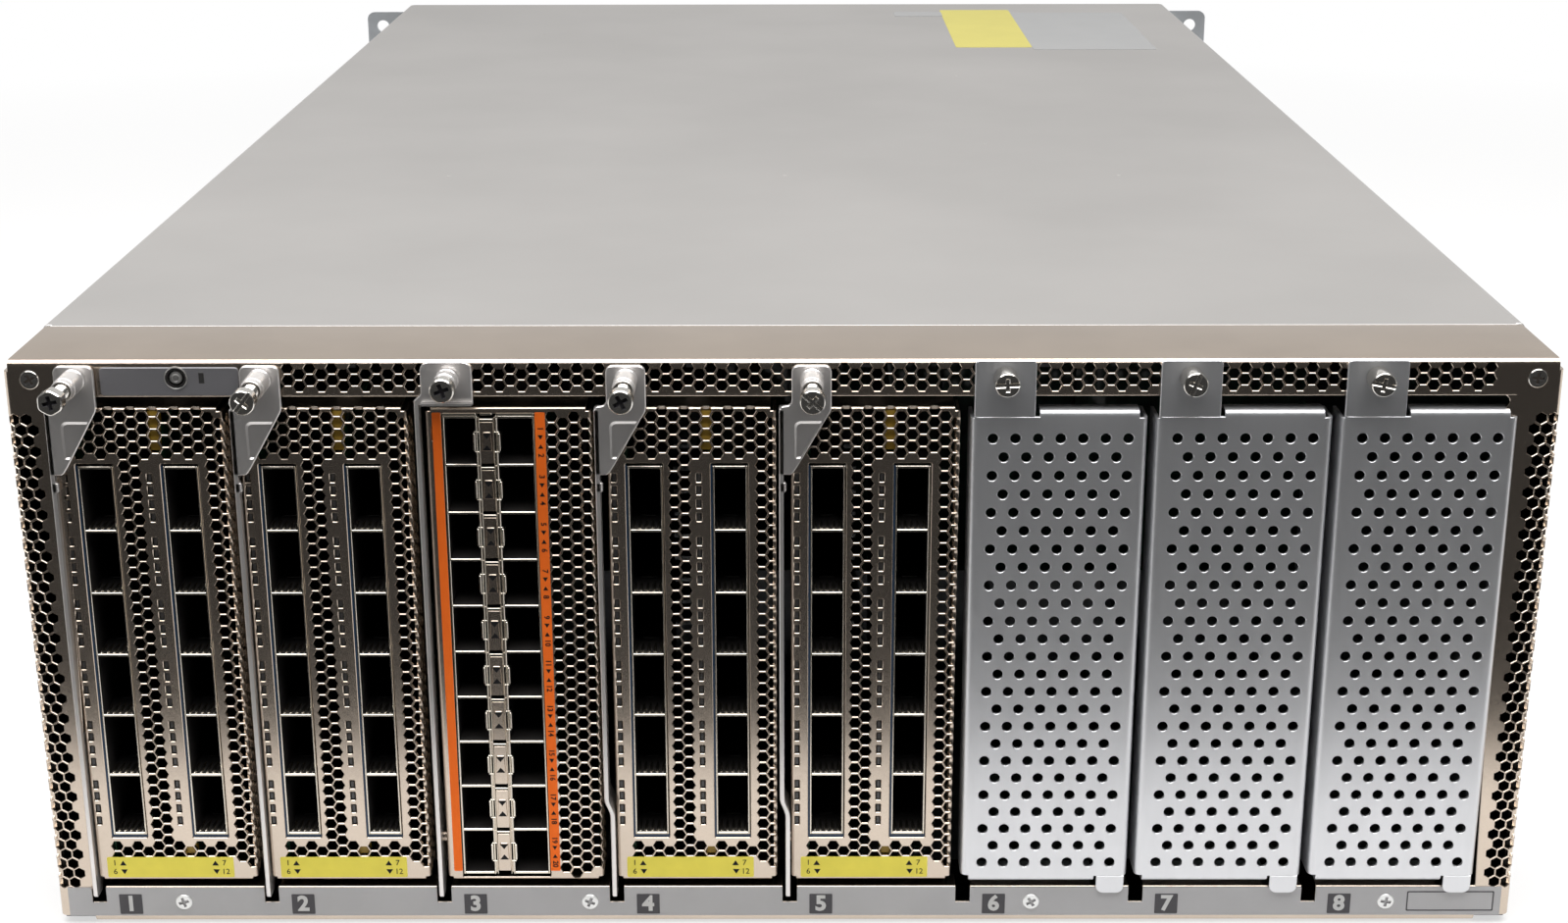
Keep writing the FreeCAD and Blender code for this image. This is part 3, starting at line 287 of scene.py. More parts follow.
def fold(bm, axis, start, sense, radius, steps=4):
    """Fold back what lies beyond start along an axis (0 or 2), round an outside radius."""
    normal = Vector((0, 0, 0))
    normal[axis] = 1
    arc = radius * math.pi / 2
    for step in range(steps + 1):
        level = Vector((0, 0, 0))
        level[axis] = start + sense * arc * step / steps
        everything = bm.verts[:] + bm.edges[:] + bm.faces[:]
        bmesh.ops.bisect_plane(bm, geom=everything, dist=1e-4, plane_co=level, plane_no=normal)
    for vert in bm.verts:
        beyond = (vert.co[axis] - start) * sense
        if beyond <= 1e-5:
            continue
        depth = vert.co.y
        turn = min(beyond / radius, math.pi / 2)
        reach = max(beyond - arc, 0)
        vert.co[axis] = start + sense * (radius - depth) * math.sin(turn)
        vert.co.y = radius - (radius - depth) * math.cos(turn) + reach


def fold_sides(bm, left, right, low, high, radius, steps=4):
    """Fold back all four sides of a sheet."""
    for axis, start, sense in ((0, right, 1), (0, left, -1), (2, high, 1), (2, low, -1)):
        fold(bm, axis, start, sense, radius, steps)


def added(bm, make, *values, **named):
    """Makes part of a mesh, and gives its vertices."""
    before = set(bm.verts)
    make(bm, *values, **named)
    return [vert for vert in bm.verts if vert not in before]


def placed(bm, matrix, make, *values, **named):
    """Makes part of a mesh and moves it by a matrix."""
    bmesh.ops.transform(bm, matrix=matrix, verts=added(bm, make, *values, **named))


def linked(verts, kind):
    """The edges or faces that meet some vertices, in an order that stays the same."""
    return list(dict.fromkeys(item for vert in verts for item in getattr(vert, kind)))


def block(bm, low, high, bevel=0.0, mat=0, segments=1):
    """A block between two corners with eased edges."""
    made = bmesh.ops.create_cube(bm, size=1)["verts"]
    low, high = Vector(low), Vector(high)
    for vert in made:
        vert.co = Vector([low[i] + (vert.co[i] + 0.5) * (high[i] - low[i]) for i in range(3)])
    for face in linked(made, "link_faces"):
        face.material_index = mat
    if bevel:
        bmesh.ops.bevel(bm, geom=linked(made, "link_edges"), offset=bevel, segments=segments, affect="EDGES",
                        material=mat)


def lathe(bm, profile, centre, axis="Y", sides=32, mat=0, caps=True):
    """A turned form: profile is a list of (radius, distance along the axis)."""
    rings = []
    for radius, along in profile:
        ring = []
        for i in range(sides):
            turn = 2 * math.pi * i / sides
            a, b = radius * math.cos(turn), radius * math.sin(turn)
            spot = {"Y": (a, along, b), "X": (along, a, b), "Z": (a, b, along)}[axis]
            ring.append(bm.verts.new(Vector(centre) + Vector(spot)))
        rings.append(ring)
    for one, two in zip(rings, rings[1:]):
        strip(bm, one, two, mat)
    if caps:
        for ring in (rings[0], rings[-1]):
            bm.faces.new(ring).material_index = mat
    return rings


def hoop(bm, radius, wire, along, sides, mat):
    """A ring of round wire about the Y axis."""
    rings = lathe(bm, circle(radius, along, wire, 8), (0, 0, 0), sides=sides, mat=mat, caps=False)
    strip(bm, rings[-1], rings[0], mat)


def circle(u, v, radius, sides=24, phase=0.0):
    return [(u + radius * math.cos(2 * math.pi * (i + phase) / sides),
             v + radius * math.sin(2 * math.pi * (i + phase) / sides)) for i in range(sides)]


def hexagon(u, v, flats, pointed=False):
    """A hexagon by its width across flats, with a flat or a point at its top."""
    return circle(u, v, flats / math.sqrt(3), 6, 0.5 if pointed else 0.0)


def box_loop(left, low, right, high, radius=0.0, steps=3):
    """A rectangle with rounded corners."""
    return rounded([(left, low), (right, low), (right, high), (left, high)], [radius] * 4, steps)


def rounded(points, radii, steps=4):
    """A polygon with each corner rounded by its own radius; 0 leaves it sharp."""
    loop = []
    for i, (here, radius) in enumerate(zip(points, radii)):
        if not radius:
            loop.append(tuple(here))
            continue
        here = Vector(here)
        one = (Vector(points[i - 1]) - here).normalized()
        two = (Vector(points[(i + 1) % len(points)]) - here).normalized()
        half = math.acos(max(-1, min(1, one.dot(two)))) / 2
        run = radius / math.tan(half)
        centre = here + (one + two).normalized() * (radius / math.sin(half))
        start, end = here + one * run - centre, here + two * run - centre
        sweep = start.angle_signed(end)
        for step in range(steps + 1):
            turn = -sweep * step / steps
            loop.append(tuple(centre + Matrix.Rotation(turn, 2) @ start))
    return loop


def spun(points, turn):
    """Points of a flat drawing turned about its origin."""
    c, s = math.cos(turn), math.sin(turn)
    return [(u * c - v * s, u * s + v * c) for u, v in points]


def cross(radius, turn):
    """Outline of a cross recess in a screw head."""
    arm, reach = radius * RECESS_ARM, radius * RECESS_REACH
    points = [(-arm, -reach), (arm, -reach), (arm, -arm)]
    for _ in range(3):
        points += [(-v, u) for u, v in points[-3:]]
    return spun(points, turn)


def flat_screw(bm, matrix, radius, turn, thick=0.6, bevel=0.35, deep=0.8, sides=28):
    """A screw head with a cross recess, drawn facing -Y; bevel and deep are shares of its thickness."""
    # the cross recess takes the piece's second, dark material as painted shade
    placed(bm, matrix, plate, circle(0, 0, radius, sides), [], thick, thick * bevel,
           dents=[(cross(radius, turn), thick * deep, 0.12, 1)])


def arrow(bm, x, z, half, base, tip, start, thick=0.03, mat=1):
    """A flat arrowhead: its base lies below (x, z) and its tip above, or the other way round if negative."""
    plate(bm, [(x - half, z - base), (x + half, z - base), (x, z + tip)], [], thick, 0, start, mat=mat)


LAID = Matrix(((1, 0, 0, 0), (0, 0, 1, 0), (0, -1, 0, 0), (0, 0, 0, 1)))


def to_front(x=0.0, y=0.0, z=0.0):
    """Places a form drawn as (x, depth behind the face, z)."""
    return Matrix.Translation((x, FACE + y, z))


def to_top(level):
    """Lays a sheet drawn as (u, h, v) flat: u across, v back from the face, h down from the level."""
    return Matrix.Translation((0, FACE, level)) @ LAID


def laid(level):
    """The same for a sheet whose v already counts from where its piece stands."""
    return Matrix.Translation((0, 0, level)) @ LAID


def turned_back(x, depth, z=0.0):
    """Turns a form drawn facing the front so that it faces back; its u then runs against X."""
    return Matrix.Translation((x, depth, z)) @ Matrix.Rotation(math.pi, 4, "Z")


def add_words(bm, text, size, centre, depth, bold, turn=0.0, mat=1):
    """A short text standing on the front face, centred at (x, y, z)."""
    curve = bpy.data.curves.new("words", "FONT")
    curve.body, curve.size, curve.extrude, curve.offset = text, size, depth, bold
    curve.align_x, curve.align_y = "CENTER", "CENTER"
    curve.resolution_u = 3
    holder = bpy.data.objects.new("words", curve)
    mesh = bpy.data.meshes.new_from_object(holder)
    bpy.data.objects.remove(holder)
    bpy.data.curves.remove(curve)
    upright = Matrix.Rotation(math.pi / 2, 4, "X")
    mesh.transform(Matrix.Translation(centre) @ Matrix.Rotation(turn, 4, "Y") @ upright)
    before = set(bm.faces)
    bm.from_mesh(mesh)
    for face in bm.faces:
        if face not in before:
            face.material_index = mat
    bpy.data.meshes.remove(mesh)


def stand(made, body, replaced=None, slot=None):
    bpy.context.scene.collection.objects.link(made)
    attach(made, body)
    if replaced:
        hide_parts(replaced)


def piece(name, bm, materials, body, replaced=None, slot=None, place=Matrix(), smooth=35, weld=False):
    """Turns a mesh into a piece in metres that rides on a body."""
    if weld:
        bmesh.ops.remove_doubles(bm, verts=bm.verts, dist=1e-4)
    bmesh.ops.recalc_face_normals(bm, faces=bm.faces)
    bm.transform(Matrix.Scale(MM, 4) @ place)
    mesh = bpy.data.meshes.new(name)
    bm.to_mesh(mesh)
    bm.free()
    for item in materials:
        mesh.materials.append(item)
    mesh.shade_smooth()
    mesh.set_sharp_from_angle(angle=math.radians(smooth))
    stand(bpy.data.objects.new(name, mesh), body, replaced, slot)
    return mesh


def family(name, numbers, where, bm, materials, body, replaced=None, slot=None, y=0.0, z=0.0, **how):
    """Numbered pieces on numbered bodies, all with one mesh: each stands at where(number) across."""
    first = numbers[0]

    def tags(number):
        return f"{body}_{number}", replaced and f"{replaced}_{number}", slot

    mesh = piece(f"{name}_{first}", bm, materials, *tags(first), to_front(where(first), y, z), **how)
    for number in numbers[1:]:
        made = bpy.data.objects.new(f"{name}_{number}", mesh)
        made.location.x = (where(number) - where(first)) * MM
        stand(made, *tags(number))


# ---------------------------------------------------------------- bezel

SHEET, BEND, RIM = 1.0, 2.0, 0.17
OPEN_HALF, OPEN_LOW, OPEN_HIGH = 208.5, 12.0, 166.5
NOTCH_HALF, NOTCH_LOW = 2.2, 6.7
SCREW_HOLE, BUTTON_HOLE = 2.5, 2.3
FLAP, FOOT_FLAP, FOOT_HALF = 37.1, 21.7, 209.0
ARC = BEND * math.pi / 2
HEX = 3.0
TOP_VENT = SimpleNamespace(left=-145.6, pitch=3.13, columns=111, spare=4.6,
                           levels=((174.5, 171.0), (172.75, 169.25)))
SIDE_VENT = SimpleNamespace(high=159.5, pitch=3.18, rows=47, first=(214.15, 212.45), step=3.5, columns=11)


def symmetric(right, before):
    """An outline from its right half, drawn upwards; it starts some points before that half."""
    loop = right + [(-x, z) for x, z in reversed(right)]
    return loop[-before:] + loop[:-before]


def screw_at(slot):
    return mid(f"captive_screw_{slot}").x


def make_bezel():
    side = HALF - BEND + ARC + FLAP - BEND
    top = HEIGHT - BEND + ARC + FLAP - BEND
    foot, lift = BEND - ARC - (FOOT_FLAP - BEND), 2.0
    half, ledge = HALF - BEND, HEIGHT - BEND - 1.2
    right = [(FOOT_HALF, foot), (FOOT_HALF, lift + 0.2), (side, lift), (side, ledge), (half + 0.6, ledge),
             (half + 0.6, top)]
    outline = symmetric(right, 2)
    sides = [notch(slot) + edge for slot in SLOTS for edge in (-NOTCH_HALF, NOTCH_HALF)]
    opening = [(-OPEN_HALF, OPEN_LOW)]
    for left, edge in zip(sides[::2], sides[1::2]):
        opening += [(left, OPEN_LOW), (left, NOTCH_LOW), (edge, NOTCH_LOW), (edge, OPEN_LOW)]
    opening += [(OPEN_HALF, OPEN_LOW)]
    opening += rounded([(OPEN_HALF, OPEN_HIGH), (-OPEN_HALF, OPEN_HIGH), (0, 0)], [2, 2, 0])[:-1]
    screws, button = [screw_at(slot) for slot in SLOTS], mid("beacon_button")
    holes = [opening] + [circle(x, SCREW_LEVEL, SCREW_HOLE, 16) for x in screws]
    holes.append(circle(button.x, button.z, BUTTON_HOLE, 16))
    for k in range(TOP_VENT.columns):
        x = TOP_VENT.left + TOP_VENT.pitch * k
        for z in TOP_VENT.levels[k % 2]:
            if all(math.hypot(x - s, z - SCREW_LEVEL) > TOP_VENT.spare for s in screws):
                holes.append(hexagon(x, z, HEX))
    for row in range(SIDE_VENT.rows):
        z = SIDE_VENT.high - SIDE_VENT.pitch * row
        for k in range(SIDE_VENT.columns):
            x = SIDE_VENT.first[row % 2] + SIDE_VENT.step * k
            holes += [hexagon(sign * x, z, HEX, pointed=True) for sign in (-1, 1)]
    bm = bmesh.new()
    plate(bm, outline, holes, SHEET, RIM)
    fold_sides(bm, -half, half, BEND, HEIGHT - BEND, BEND)
    sides = [-OPEN_HALF] + sides + [OPEN_HALF]
    for left, edge in zip(sides[::2], sides[1::2]):
        block(bm, (left, 0.6, OPEN_LOW - 1.2), (edge, 8, OPEN_LOW), 0.2)
    lathe(bm, [(0.42, -OPEN_HALF + 2), (0.42, OPEN_HALF - 2)], (0, 0.36, OPEN_HIGH + 0.15), "X", 12)
    piece("bezel", bm, [NICKEL], "chassis", "front_bezel", "nickel_steel", to_front(), weld=True)


# ---------------------------------------------------------------- lid

LID_TOP, LID_FRONT, LID_BEND = HEIGHT - 0.2, 37.4, 1.6
SKIRT, BACK_LIP = 15.0, 6.0
RIVETS = ((-129, 261), (0, 261), (128, 260), (82, 500), (82, 325), (180, 433), (-129, 500), (-129, 640),
          (0, 640))
RIVET = ((1.3, 0), (1.15, 0.09), (0.8, 0.12), (0.4, 0.07), (0.2, 0.04))
LID_LABELS = ((BRIGHT_YELLOW, 87.7, 590, 127, 734), (PALE_LABEL, 127, 582, 190, 722),
              (PALE_LABEL, 61, 708, 88, 726))


def make_lid():
    start = HALF - LID_BEND
    arc = LID_BEND * math.pi / 2
    side = start + arc + SKIRT - LID_BEND
    back = DEPTH - LID_BEND + arc + BACK_LIP - LID_BEND
    front, relief = LID_FRONT + 0.4, DEPTH - LID_BEND - 1
    right = [(start - 1, front), (start - 1, front + 1.5), (side, front + 1.5), (side, relief),
             (start - 0.4, relief), (start - 0.4, back)]
    bm = bmesh.new()
    plate(bm, symmetric(right, 1), [], SHEET, 0.25)
    fold(bm, 0, start, 1, LID_BEND)
    fold(bm, 0, -start, -1, LID_BEND)
    fold(bm, 2, DEPTH - LID_BEND, 1, LID_BEND)
    # a hem turned under along the front edge
    lathe(bm, [(0.45, -start + 2), (0.45, start - 2)], (0, 0.6, LID_FRONT + 0.5), "X", 10)
    piece("lid", bm, [LID], "chassis", "top_cover", "galvanised", to_top(LID_TOP), weld=True)
    bm = bmesh.new()
    for x, y in RIVETS:
        lathe(bm, RIVET, (x, FACE + y, LID_TOP - 0.02), "Z", 20)
    piece("lid_rivets", bm, [LID], "chassis", slot="galvanised", weld=True)
    bm = bmesh.new()
    for index, (_, *edges) in enumerate(LID_LABELS):
        lift = Matrix.Translation((0, -0.02 * index, 0))
        placed(bm, lift, plate, box_loop(*edges, 1.5), [], 0.1, 0.03, mat=index)
    piece("lid_labels", bm, [row[0] for row in LID_LABELS], "chassis", place=to_top(LID_TOP + 0.1))


def make_small_screws():
    bm = bmesh.new()
    for index, (x, y) in enumerate(((-193, 31), (-64.3, 31.8), (65.1, 32), (193.2, 31))):
        flat_screw(bm, to_top(HEIGHT - 0.02) @ Matrix.Translation((x, 0, y)), 2.3, index * 0.7, 0.4)
    for index, x in enumerate((-212, 212)):
        flat_screw(bm, to_front(x, -0.35, 171.3), 2.75, 0.5 + index)
    piece("bezel_screws", bm, [SCREW, TILE], "chassis", slot="screw_steel")
    bm = bmesh.new()
    for index, x in enumerate((-181.6, -58.7, 74.6, 181.8)):
        flat_screw(bm, to_front(x, -0.62, 6.9), 2.5, 0.3 + index * 0.9)
    piece("strip_screws", bm, [WHITE_ZINC, TILE], "chassis", slot="screw_steel")


# ---------------------------------------------------------------- label strip and beacon

TILE_FROM_NOTCH, TILE_WIDE, TILE_LOW, TILE_HIGH = 9.4, 6.9, 2.9, 9.5
STRIP_FRONT, BEACON_FRONT = -0.42, -0.5
NUMBER_SIZE = 6.9


def make_strip():
    bm = bmesh.new()
    for slot in SLOTS:
        x = notch(slot) + TILE_FROM_NOTCH
        tile = box_loop(x - TILE_WIDE / 2, TILE_LOW, x + TILE_WIDE / 2, TILE_HIGH, 0.25)
        plate(bm, tile, [], 0.12, 0.03, STRIP_FRONT)
        centre = (x, STRIP_FRONT - 0.02, (TILE_LOW + TILE_HIGH) / 2)
        add_words(bm, str(slot), NUMBER_SIZE, centre, 0.02, 0.26)
    piece("slot_numbers", bm, [TILE, NUMERAL], "chassis", place=to_front())
    bm = bmesh.new()
    outer, inner = box_loop(188.1, 3.65, 214.4, 10.3, 0.4), box_loop(188.5, 4.05, 214.0, 9.9, 0.3)
    plate(bm, outer, [inner], 0.08, 0.02, -0.36)
    piece("spare_label_frame", bm, [TILE], "chassis", place=to_front())


def make_beacon():
    """Plate with a collar round the beacon button, the button with its domed face, and the lamp."""
    x, z = mid("beacon_button").x, mid("beacon_button").z
    front = BEACON_FRONT
    low, high = low_of("id_plate"), high_of("id_plate")
    bm = bmesh.new()
    hole = circle(x, z, BUTTON_HOLE, 32)
    plate(bm, box_loop(low.x, low.z, high.x, high.z, 1.0), [hole], 0.5, 0.16, front)
    piece("beacon_plate", bm, [PLATE], "chassis", "id_plate", place=to_front(), weld=True)
    bm = bmesh.new()
    rim = [(3.35, front), (3.3, front - 0.25), (3.15, front - 0.3), (3.0, front - 0.22)]
    well = [(3.0, front - 0.22), (2.85, front - 0.08), (2.3, front - 0.06), (2.2, 0.4)]
    for mat, profile in enumerate((rim, well)):
        lathe(bm, profile, (x, 0, z), sides=48, mat=mat, caps=False)
    piece("beacon_collar", bm, [BUTTON, DARK_AND_SHADE], "chassis", place=to_front(), weld=True)
    bm = bmesh.new()
    dome = [(0.02, -0.58), (0.6, -0.60), (0.95, -0.52), (1.15, -0.66), (1.4, -0.72), (1.65, -0.66)]
    lathe(bm, dome + [(1.9, -0.2), (1.9, 1.6), (0.9, 2.3), (0.9, 8.0)], (x, 0, z))
    piece("beacon_cap", bm, [BUTTON], "button", "beacon_button", "button_cap", to_front(), weld=True)
    bm = bmesh.new()
    block(bm, (x + 6.4, front - 0.08, z - 1.6), (x + 7.9, 0.3, z + 1.6), 0.06)
    piece("beacon_lamp", bm, [LENS], "chassis", place=to_front(), weld=True)


# ---------------------------------------------------------------- port modules

FACE_LOW, FACE_HIGH = 14.0, 163.2
TRAY_SHEET, TRAY_BEND, PAN = 1.0, 1.2, 12.0
TRAY_DEPTH, TRAY_LIP, TRAY_GAP = 245.0, 7.6, 0.35
COLUMN, ROW, LATTICE_X, LATTICE_Z = 3.12, 3.64, 19.3, 149.3
SLIM_COLUMN, SLIM_LATTICE_X, SLIM_LATTICE_Z = 3.2, 37.1, 160.2
PIN_DEPTH, PIN_LEVEL, PIN_RADIUS = 6.0, 26.0, 1.9
WIDE = SimpleNamespace(left=0.4, right=48.5, inner=9.0, pitch=19.25, rows=6, low=29.6,
                       columns=(6.5, 30.8))
SLIM = SimpleNamespace(left=1.4, right=48.5, wall=2.1, pitch=14.37, rows=10, low=16.4,
                       columns=((6.7, 15.5), (21.7, 31.7)))
CAGE_WALL, HALF_DIVIDER, CAGE_FRONT, CAGE_BACK, CONNECTOR = 0.5, 0.4, 0.3, 50.3, 12.0
LAMP_COLUMNS = (2.2, 26.4)
LAMP_LEVELS = [145.1 - WIDE.pitch * port - drop for port in range(WIDE.rows)
               for drop in (3.0, 6.8, 10.9, 14.9)]
LABEL_FRONT = -0.08


def span(ports):
    """Bottom and top of a column of ports."""
    return ports.low - HALF_DIVIDER, ports.low + ports.rows * ports.pitch + HALF_DIVIDER


def tray(left, right, holes, wall=None):
    """Face, folded rim, side sheet with lips, and the lever's pin, in the module's own frame."""
    arc = TRAY_BEND * math.pi / 2
    rim, gap = arc + PAN - TRAY_BEND, TRAY_GAP
    start_l, start_r = left + TRAY_BEND, right - TRAY_BEND
    start_t, start_b = FACE_HIGH - TRAY_BEND, FACE_LOW + TRAY_BEND
    outline = [
        (start_l + gap, start_b - rim), (start_r - gap, start_b - rim), (start_r - gap, start_b),
        (start_r + rim, start_b + gap), (start_r + rim, start_t - gap), (start_r - gap, start_t),
        (start_r - gap, start_t + rim), (start_l + gap, start_t + rim), (start_l + gap, start_t),
        (start_l - rim, start_t - gap), (start_l - rim, start_b + gap), (start_l + gap, start_b),
    ]
    bm = bmesh.new()
    plate(bm, outline, holes, TRAY_SHEET, RIM)
    fold_sides(bm, start_l, start_r, start_b, start_t, TRAY_BEND, 3)
    wall = left if wall is None else wall
    for reach, low, high in ((TRAY_SHEET, FACE_LOW, FACE_HIGH), (TRAY_LIP, FACE_LOW, FACE_LOW + TRAY_SHEET),
                             (TRAY_LIP, FACE_HIGH - TRAY_SHEET, FACE_HIGH)):
        block(bm, (wall, PAN, low), (wall + reach, TRAY_DEPTH, high), 0.2)
    pin = [(PIN_RADIUS - 0.3, -1.2), (PIN_RADIUS, -1.05), (PIN_RADIUS, left + 0.5)]
    lathe(bm, pin, (0, PIN_DEPTH, PIN_LEVEL), "X", 20)
    return bm


def wide_face():
    low, high = span(WIDE)
    edge = CAGE_WALL + 0.55
    holes = [box_loop(left - edge, low - 0.9, left + WIDE.inner + edge - 0.25, high + 0.9, 0.5)
             for left in WIDE.columns]
    holes += [box_loop(x - 0.8, z - 1.35, x + 0.8, z + 1.35, 0.25, 2)
              for x in LAMP_COLUMNS for z in LAMP_LEVELS]
    for k in range(-4, 15):
        x = LATTICE_X + COLUMN * k
        lift = ROW / 2 if k % 2 else 0.0
        for j in range(-4, 37):
            z = LATTICE_Z + lift - ROW * j
            above_ports = z > 148.5 and k < 14
            beside_ports = k in (0, 1) and z > 21.5 or k >= 8 and z > 15.8
            wanted = above_ports or beside_ports or 21.5 < z < 26.5
            spared = k == 8 and z < 19 or k >= 10 and not 17 < z < 160
            if wanted and not spared and z < (163 if k % 2 else 161):
                holes.append(hexagon(x, z, HEX))
    return tray(WIDE.left, WIDE.right, holes)


def wide_trim():
    """Light pipes behind the lamp windows, gaskets round the cages, and the amber tape behind the vents."""
    bm = bmesh.new()
    for x in LAMP_COLUMNS:
        for z in LAMP_LEVELS:
            block(bm, (x - 0.6, 0.35, z - 1.1), (x + 0.6, 4, z + 1.1), 0.2)
    low, high = span(WIDE)
    for left in WIDE.columns:
        block(bm, (left - 1.05, 0.25, low - 0.9), (left - 0.52, 3, high + 0.3), mat=1)
        block(bm, (left - 1.0, 0.35, low - 0.9), (left + WIDE.inner + 0.8, 3, low - 0.05), mat=1)
    x = LATTICE_X + 3 * COLUMN
    for half, bottom, top in ((1.6, 150, 162.0), (1.7, 22.3, 25.6)):
        block(bm, (x - half, 1.3, bottom), (x + half, 4, top), 0.3, mat=2)
    return bm


def darken_inside(bm):
    """Painted shade: every steel face well behind the front edges takes the dark material, standing in for
    the dim inside of a cage.
    """
    for face in bm.faces:
        if face.material_index == 0 and face.calc_center_median().y > 10.0:
            face.material_index = 1


def cage_column(bm, left, right, ports, inset, reach, low, high, contacts):
    """Walls and floors round a column of ports, and in each a card edge socket with rows of contacts. Inset
    is the socket's side gap, reach how far it comes forward, and the rest are levels above the floor."""
    bottom, top = span(ports)
    back = CAGE_BACK
    block(bm, (left - CAGE_WALL, CAGE_FRONT, bottom), (left, back, top), 0.12)
    block(bm, (right, CAGE_FRONT, bottom), (right + CAGE_WALL, back, top), 0.12)
    block(bm, (left - CAGE_WALL, back, bottom), (right + CAGE_WALL, back + CONNECTOR, top), 0.2, mat=1)
    for row in range(ports.rows + 1):
        z = ports.low + row * ports.pitch
        block(bm, (left, CAGE_FRONT, z - HALF_DIVIDER), (right, back, z + HALF_DIVIDER), 0.15)
        if row == ports.rows:
            break
        block(bm, (left + inset, back - reach, z + low), (right - inset, back + 0.1, z + high), 0.3, mat=1)
        near, one, two = back - reach - 0.2, left + inset + 0.6, right - inset - 0.6
        for level in contacts:
            block(bm, (one, near, z + level), (two, near + 0.3, z + level + 0.4), mat=2)


def wide_cages():
    """Two columns of wide ports with spring fingers behind their front edges."""
    bm = bmesh.new()
    finger = [(0.15, 0.9), (0.62, 1.5), (0.75, 3.0), (0.6, 6.0), (0.1, 9.0)]
    for left in WIDE.columns:
        right = left + WIDE.inner
        cage_column(bm, left, right, WIDE, 0.6, 9, 4, 15, (8.4, 10.4))
        spring = [(0.2, left + 2.4), (0.28, (left + right) / 2), (0.2, right - 2.4)]
        for row in range(WIDE.rows):
            z = WIDE.low + row * WIDE.pitch
            for k in range(5):
                lathe(bm, finger, (left + 0.9 + k * 1.8, 0, z + 0.3), "Y", 8)
            lathe(bm, spring, (0, 12, z + 0.7), "X", 8)
    # painted shade inside the cages
    darken_inside(bm)
    return bm


def numeral_label():
    """Yellow label with the first and last port number of each column."""
    bm = bmesh.new()
    plate(bm, box_loop(3.3, 15.1, 41.4, 21.9, 0.5), [], 0.12, 0.02, LABEL_FRONT)
    upper, lower = 19.9, 17.0
    for text, x, z in (("1", 5.6, upper), ("6", 5.6, lower), ("7", 38.6, upper), ("12", 38.9, lower)):
        add_words(bm, text, 2.5, (x, LABEL_FRONT - 0.01, z), 0.01, 0.015)
    for x, z, tip in ((8.1, upper, 0.8), (8.3, lower, -0.8), (35.9, upper, 0.8), (36.1, lower, -0.8)):
        arrow(bm, x, z, 1.0, tip, tip, LABEL_FRONT - 0.02)
    return bm


def make_wide_modules():
    for name, bm, materials, replaced, slot in (
            ("port_face", wide_face(), [NICKEL], "module_tray", "nickel_steel"),
            ("port_cage", wide_cages(), [CAGE, DARK_AND_SHADE, GOLD], "port_cages", "nickel_cage"),
            ("port_trim", wide_trim(), [LENS, GASKET, AMBER], None, None),
            ("port_label", numeral_label(), [YELLOW, INK], None, None)):
        family(name, WIDE_SLOTS, notch, bm, materials, "module", replaced, slot, weld=bool(replaced))


def latch_spine(bm, left, right):
    """Spine between the narrow ports: rails, a recessed panel with two arrows at each port, bright clips."""
    middle = (left + right) / 2
    low = span(SLIM)[0]
    top = low + SLIM.rows * SLIM.pitch
    for inset, wide, front in ((0.25, 0.32, 0.15), (middle - left - 2.05, 0.22, 0.25)):
        for edge in (left + inset, right - inset):
            block(bm, (edge - wide / 2, front, low), (edge + wide / 2, front + 3, top), 0.08)
    block(bm, (left + 0.3, 4.0, low), (right - 0.3, CAGE_BACK, top), mat=1)
    for row in range(SLIM.rows):
        z = SLIM.low + row * SLIM.pitch
        ceiling = z + SLIM.pitch
        step_low, step_high = z + 4.0, z + 9.9
        panel = box_loop(middle - 1.9, z + 0.5, middle + 1.9, ceiling - 1.5, 0.3)
        tongue = rounded([(middle - 1.5, step_low + 0.3), (middle + 1.5, step_low + 0.3),
                          (middle + 1.2, step_high), (middle - 1.2, step_high)], [0.3, 0.3, 0.5, 0.5])
        plate(bm, panel, [], 0.6, 0.12, 0.55, mat=3, dents=[(tongue, -0.18, 0.15)])
        block(bm, (middle - 1.9, 0.35, ceiling - 1.0), (middle + 1.9, 1.5, ceiling - 0.55), 0.1)
        for sense in (-1, 1):
            near, far, clip = (middle + sense * reach for reach in (2.15, 2.85, 3.55))
            for bottom, end in ((z + 0.1, step_low), (step_high, ceiling - 0.1)):
                block(bm, (min(near, far), 0.5, bottom), (max(near, far), 3, end), 0.1, mat=3)
            block(bm, (clip - 0.3, 0.0, step_low + 0.4), (clip + 0.3, 5, step_high - 0.3), 0.14)
            for level in (step_low, step_high):
                block(bm, (min(near, clip), 0.2, level - 0.2), (max(near, clip), 2.5, level + 0.2), 0.1)
        for level, way in ((z + 8.7, -1), (z + 5.2, 1)):
            arrow(bm, middle, level, 1.3, 0.8 * way, 0.85 * way, 0.33, 0.05, 4)
    # a bright bar with dark slots above the top ports
    level = top + 2 * HALF_DIVIDER + 0.15
    (first, _), (_, last) = SLIM.columns
    ends = (first - 0.4, left + 0.2, left + 1.4, right - 1.4, right - 0.2, last + 0.4)
    for one, two in zip(ends[::2], ends[1::2]):
        block(bm, (one, 0.2, level), (two, 2.5, level + 0.95), 0.15)


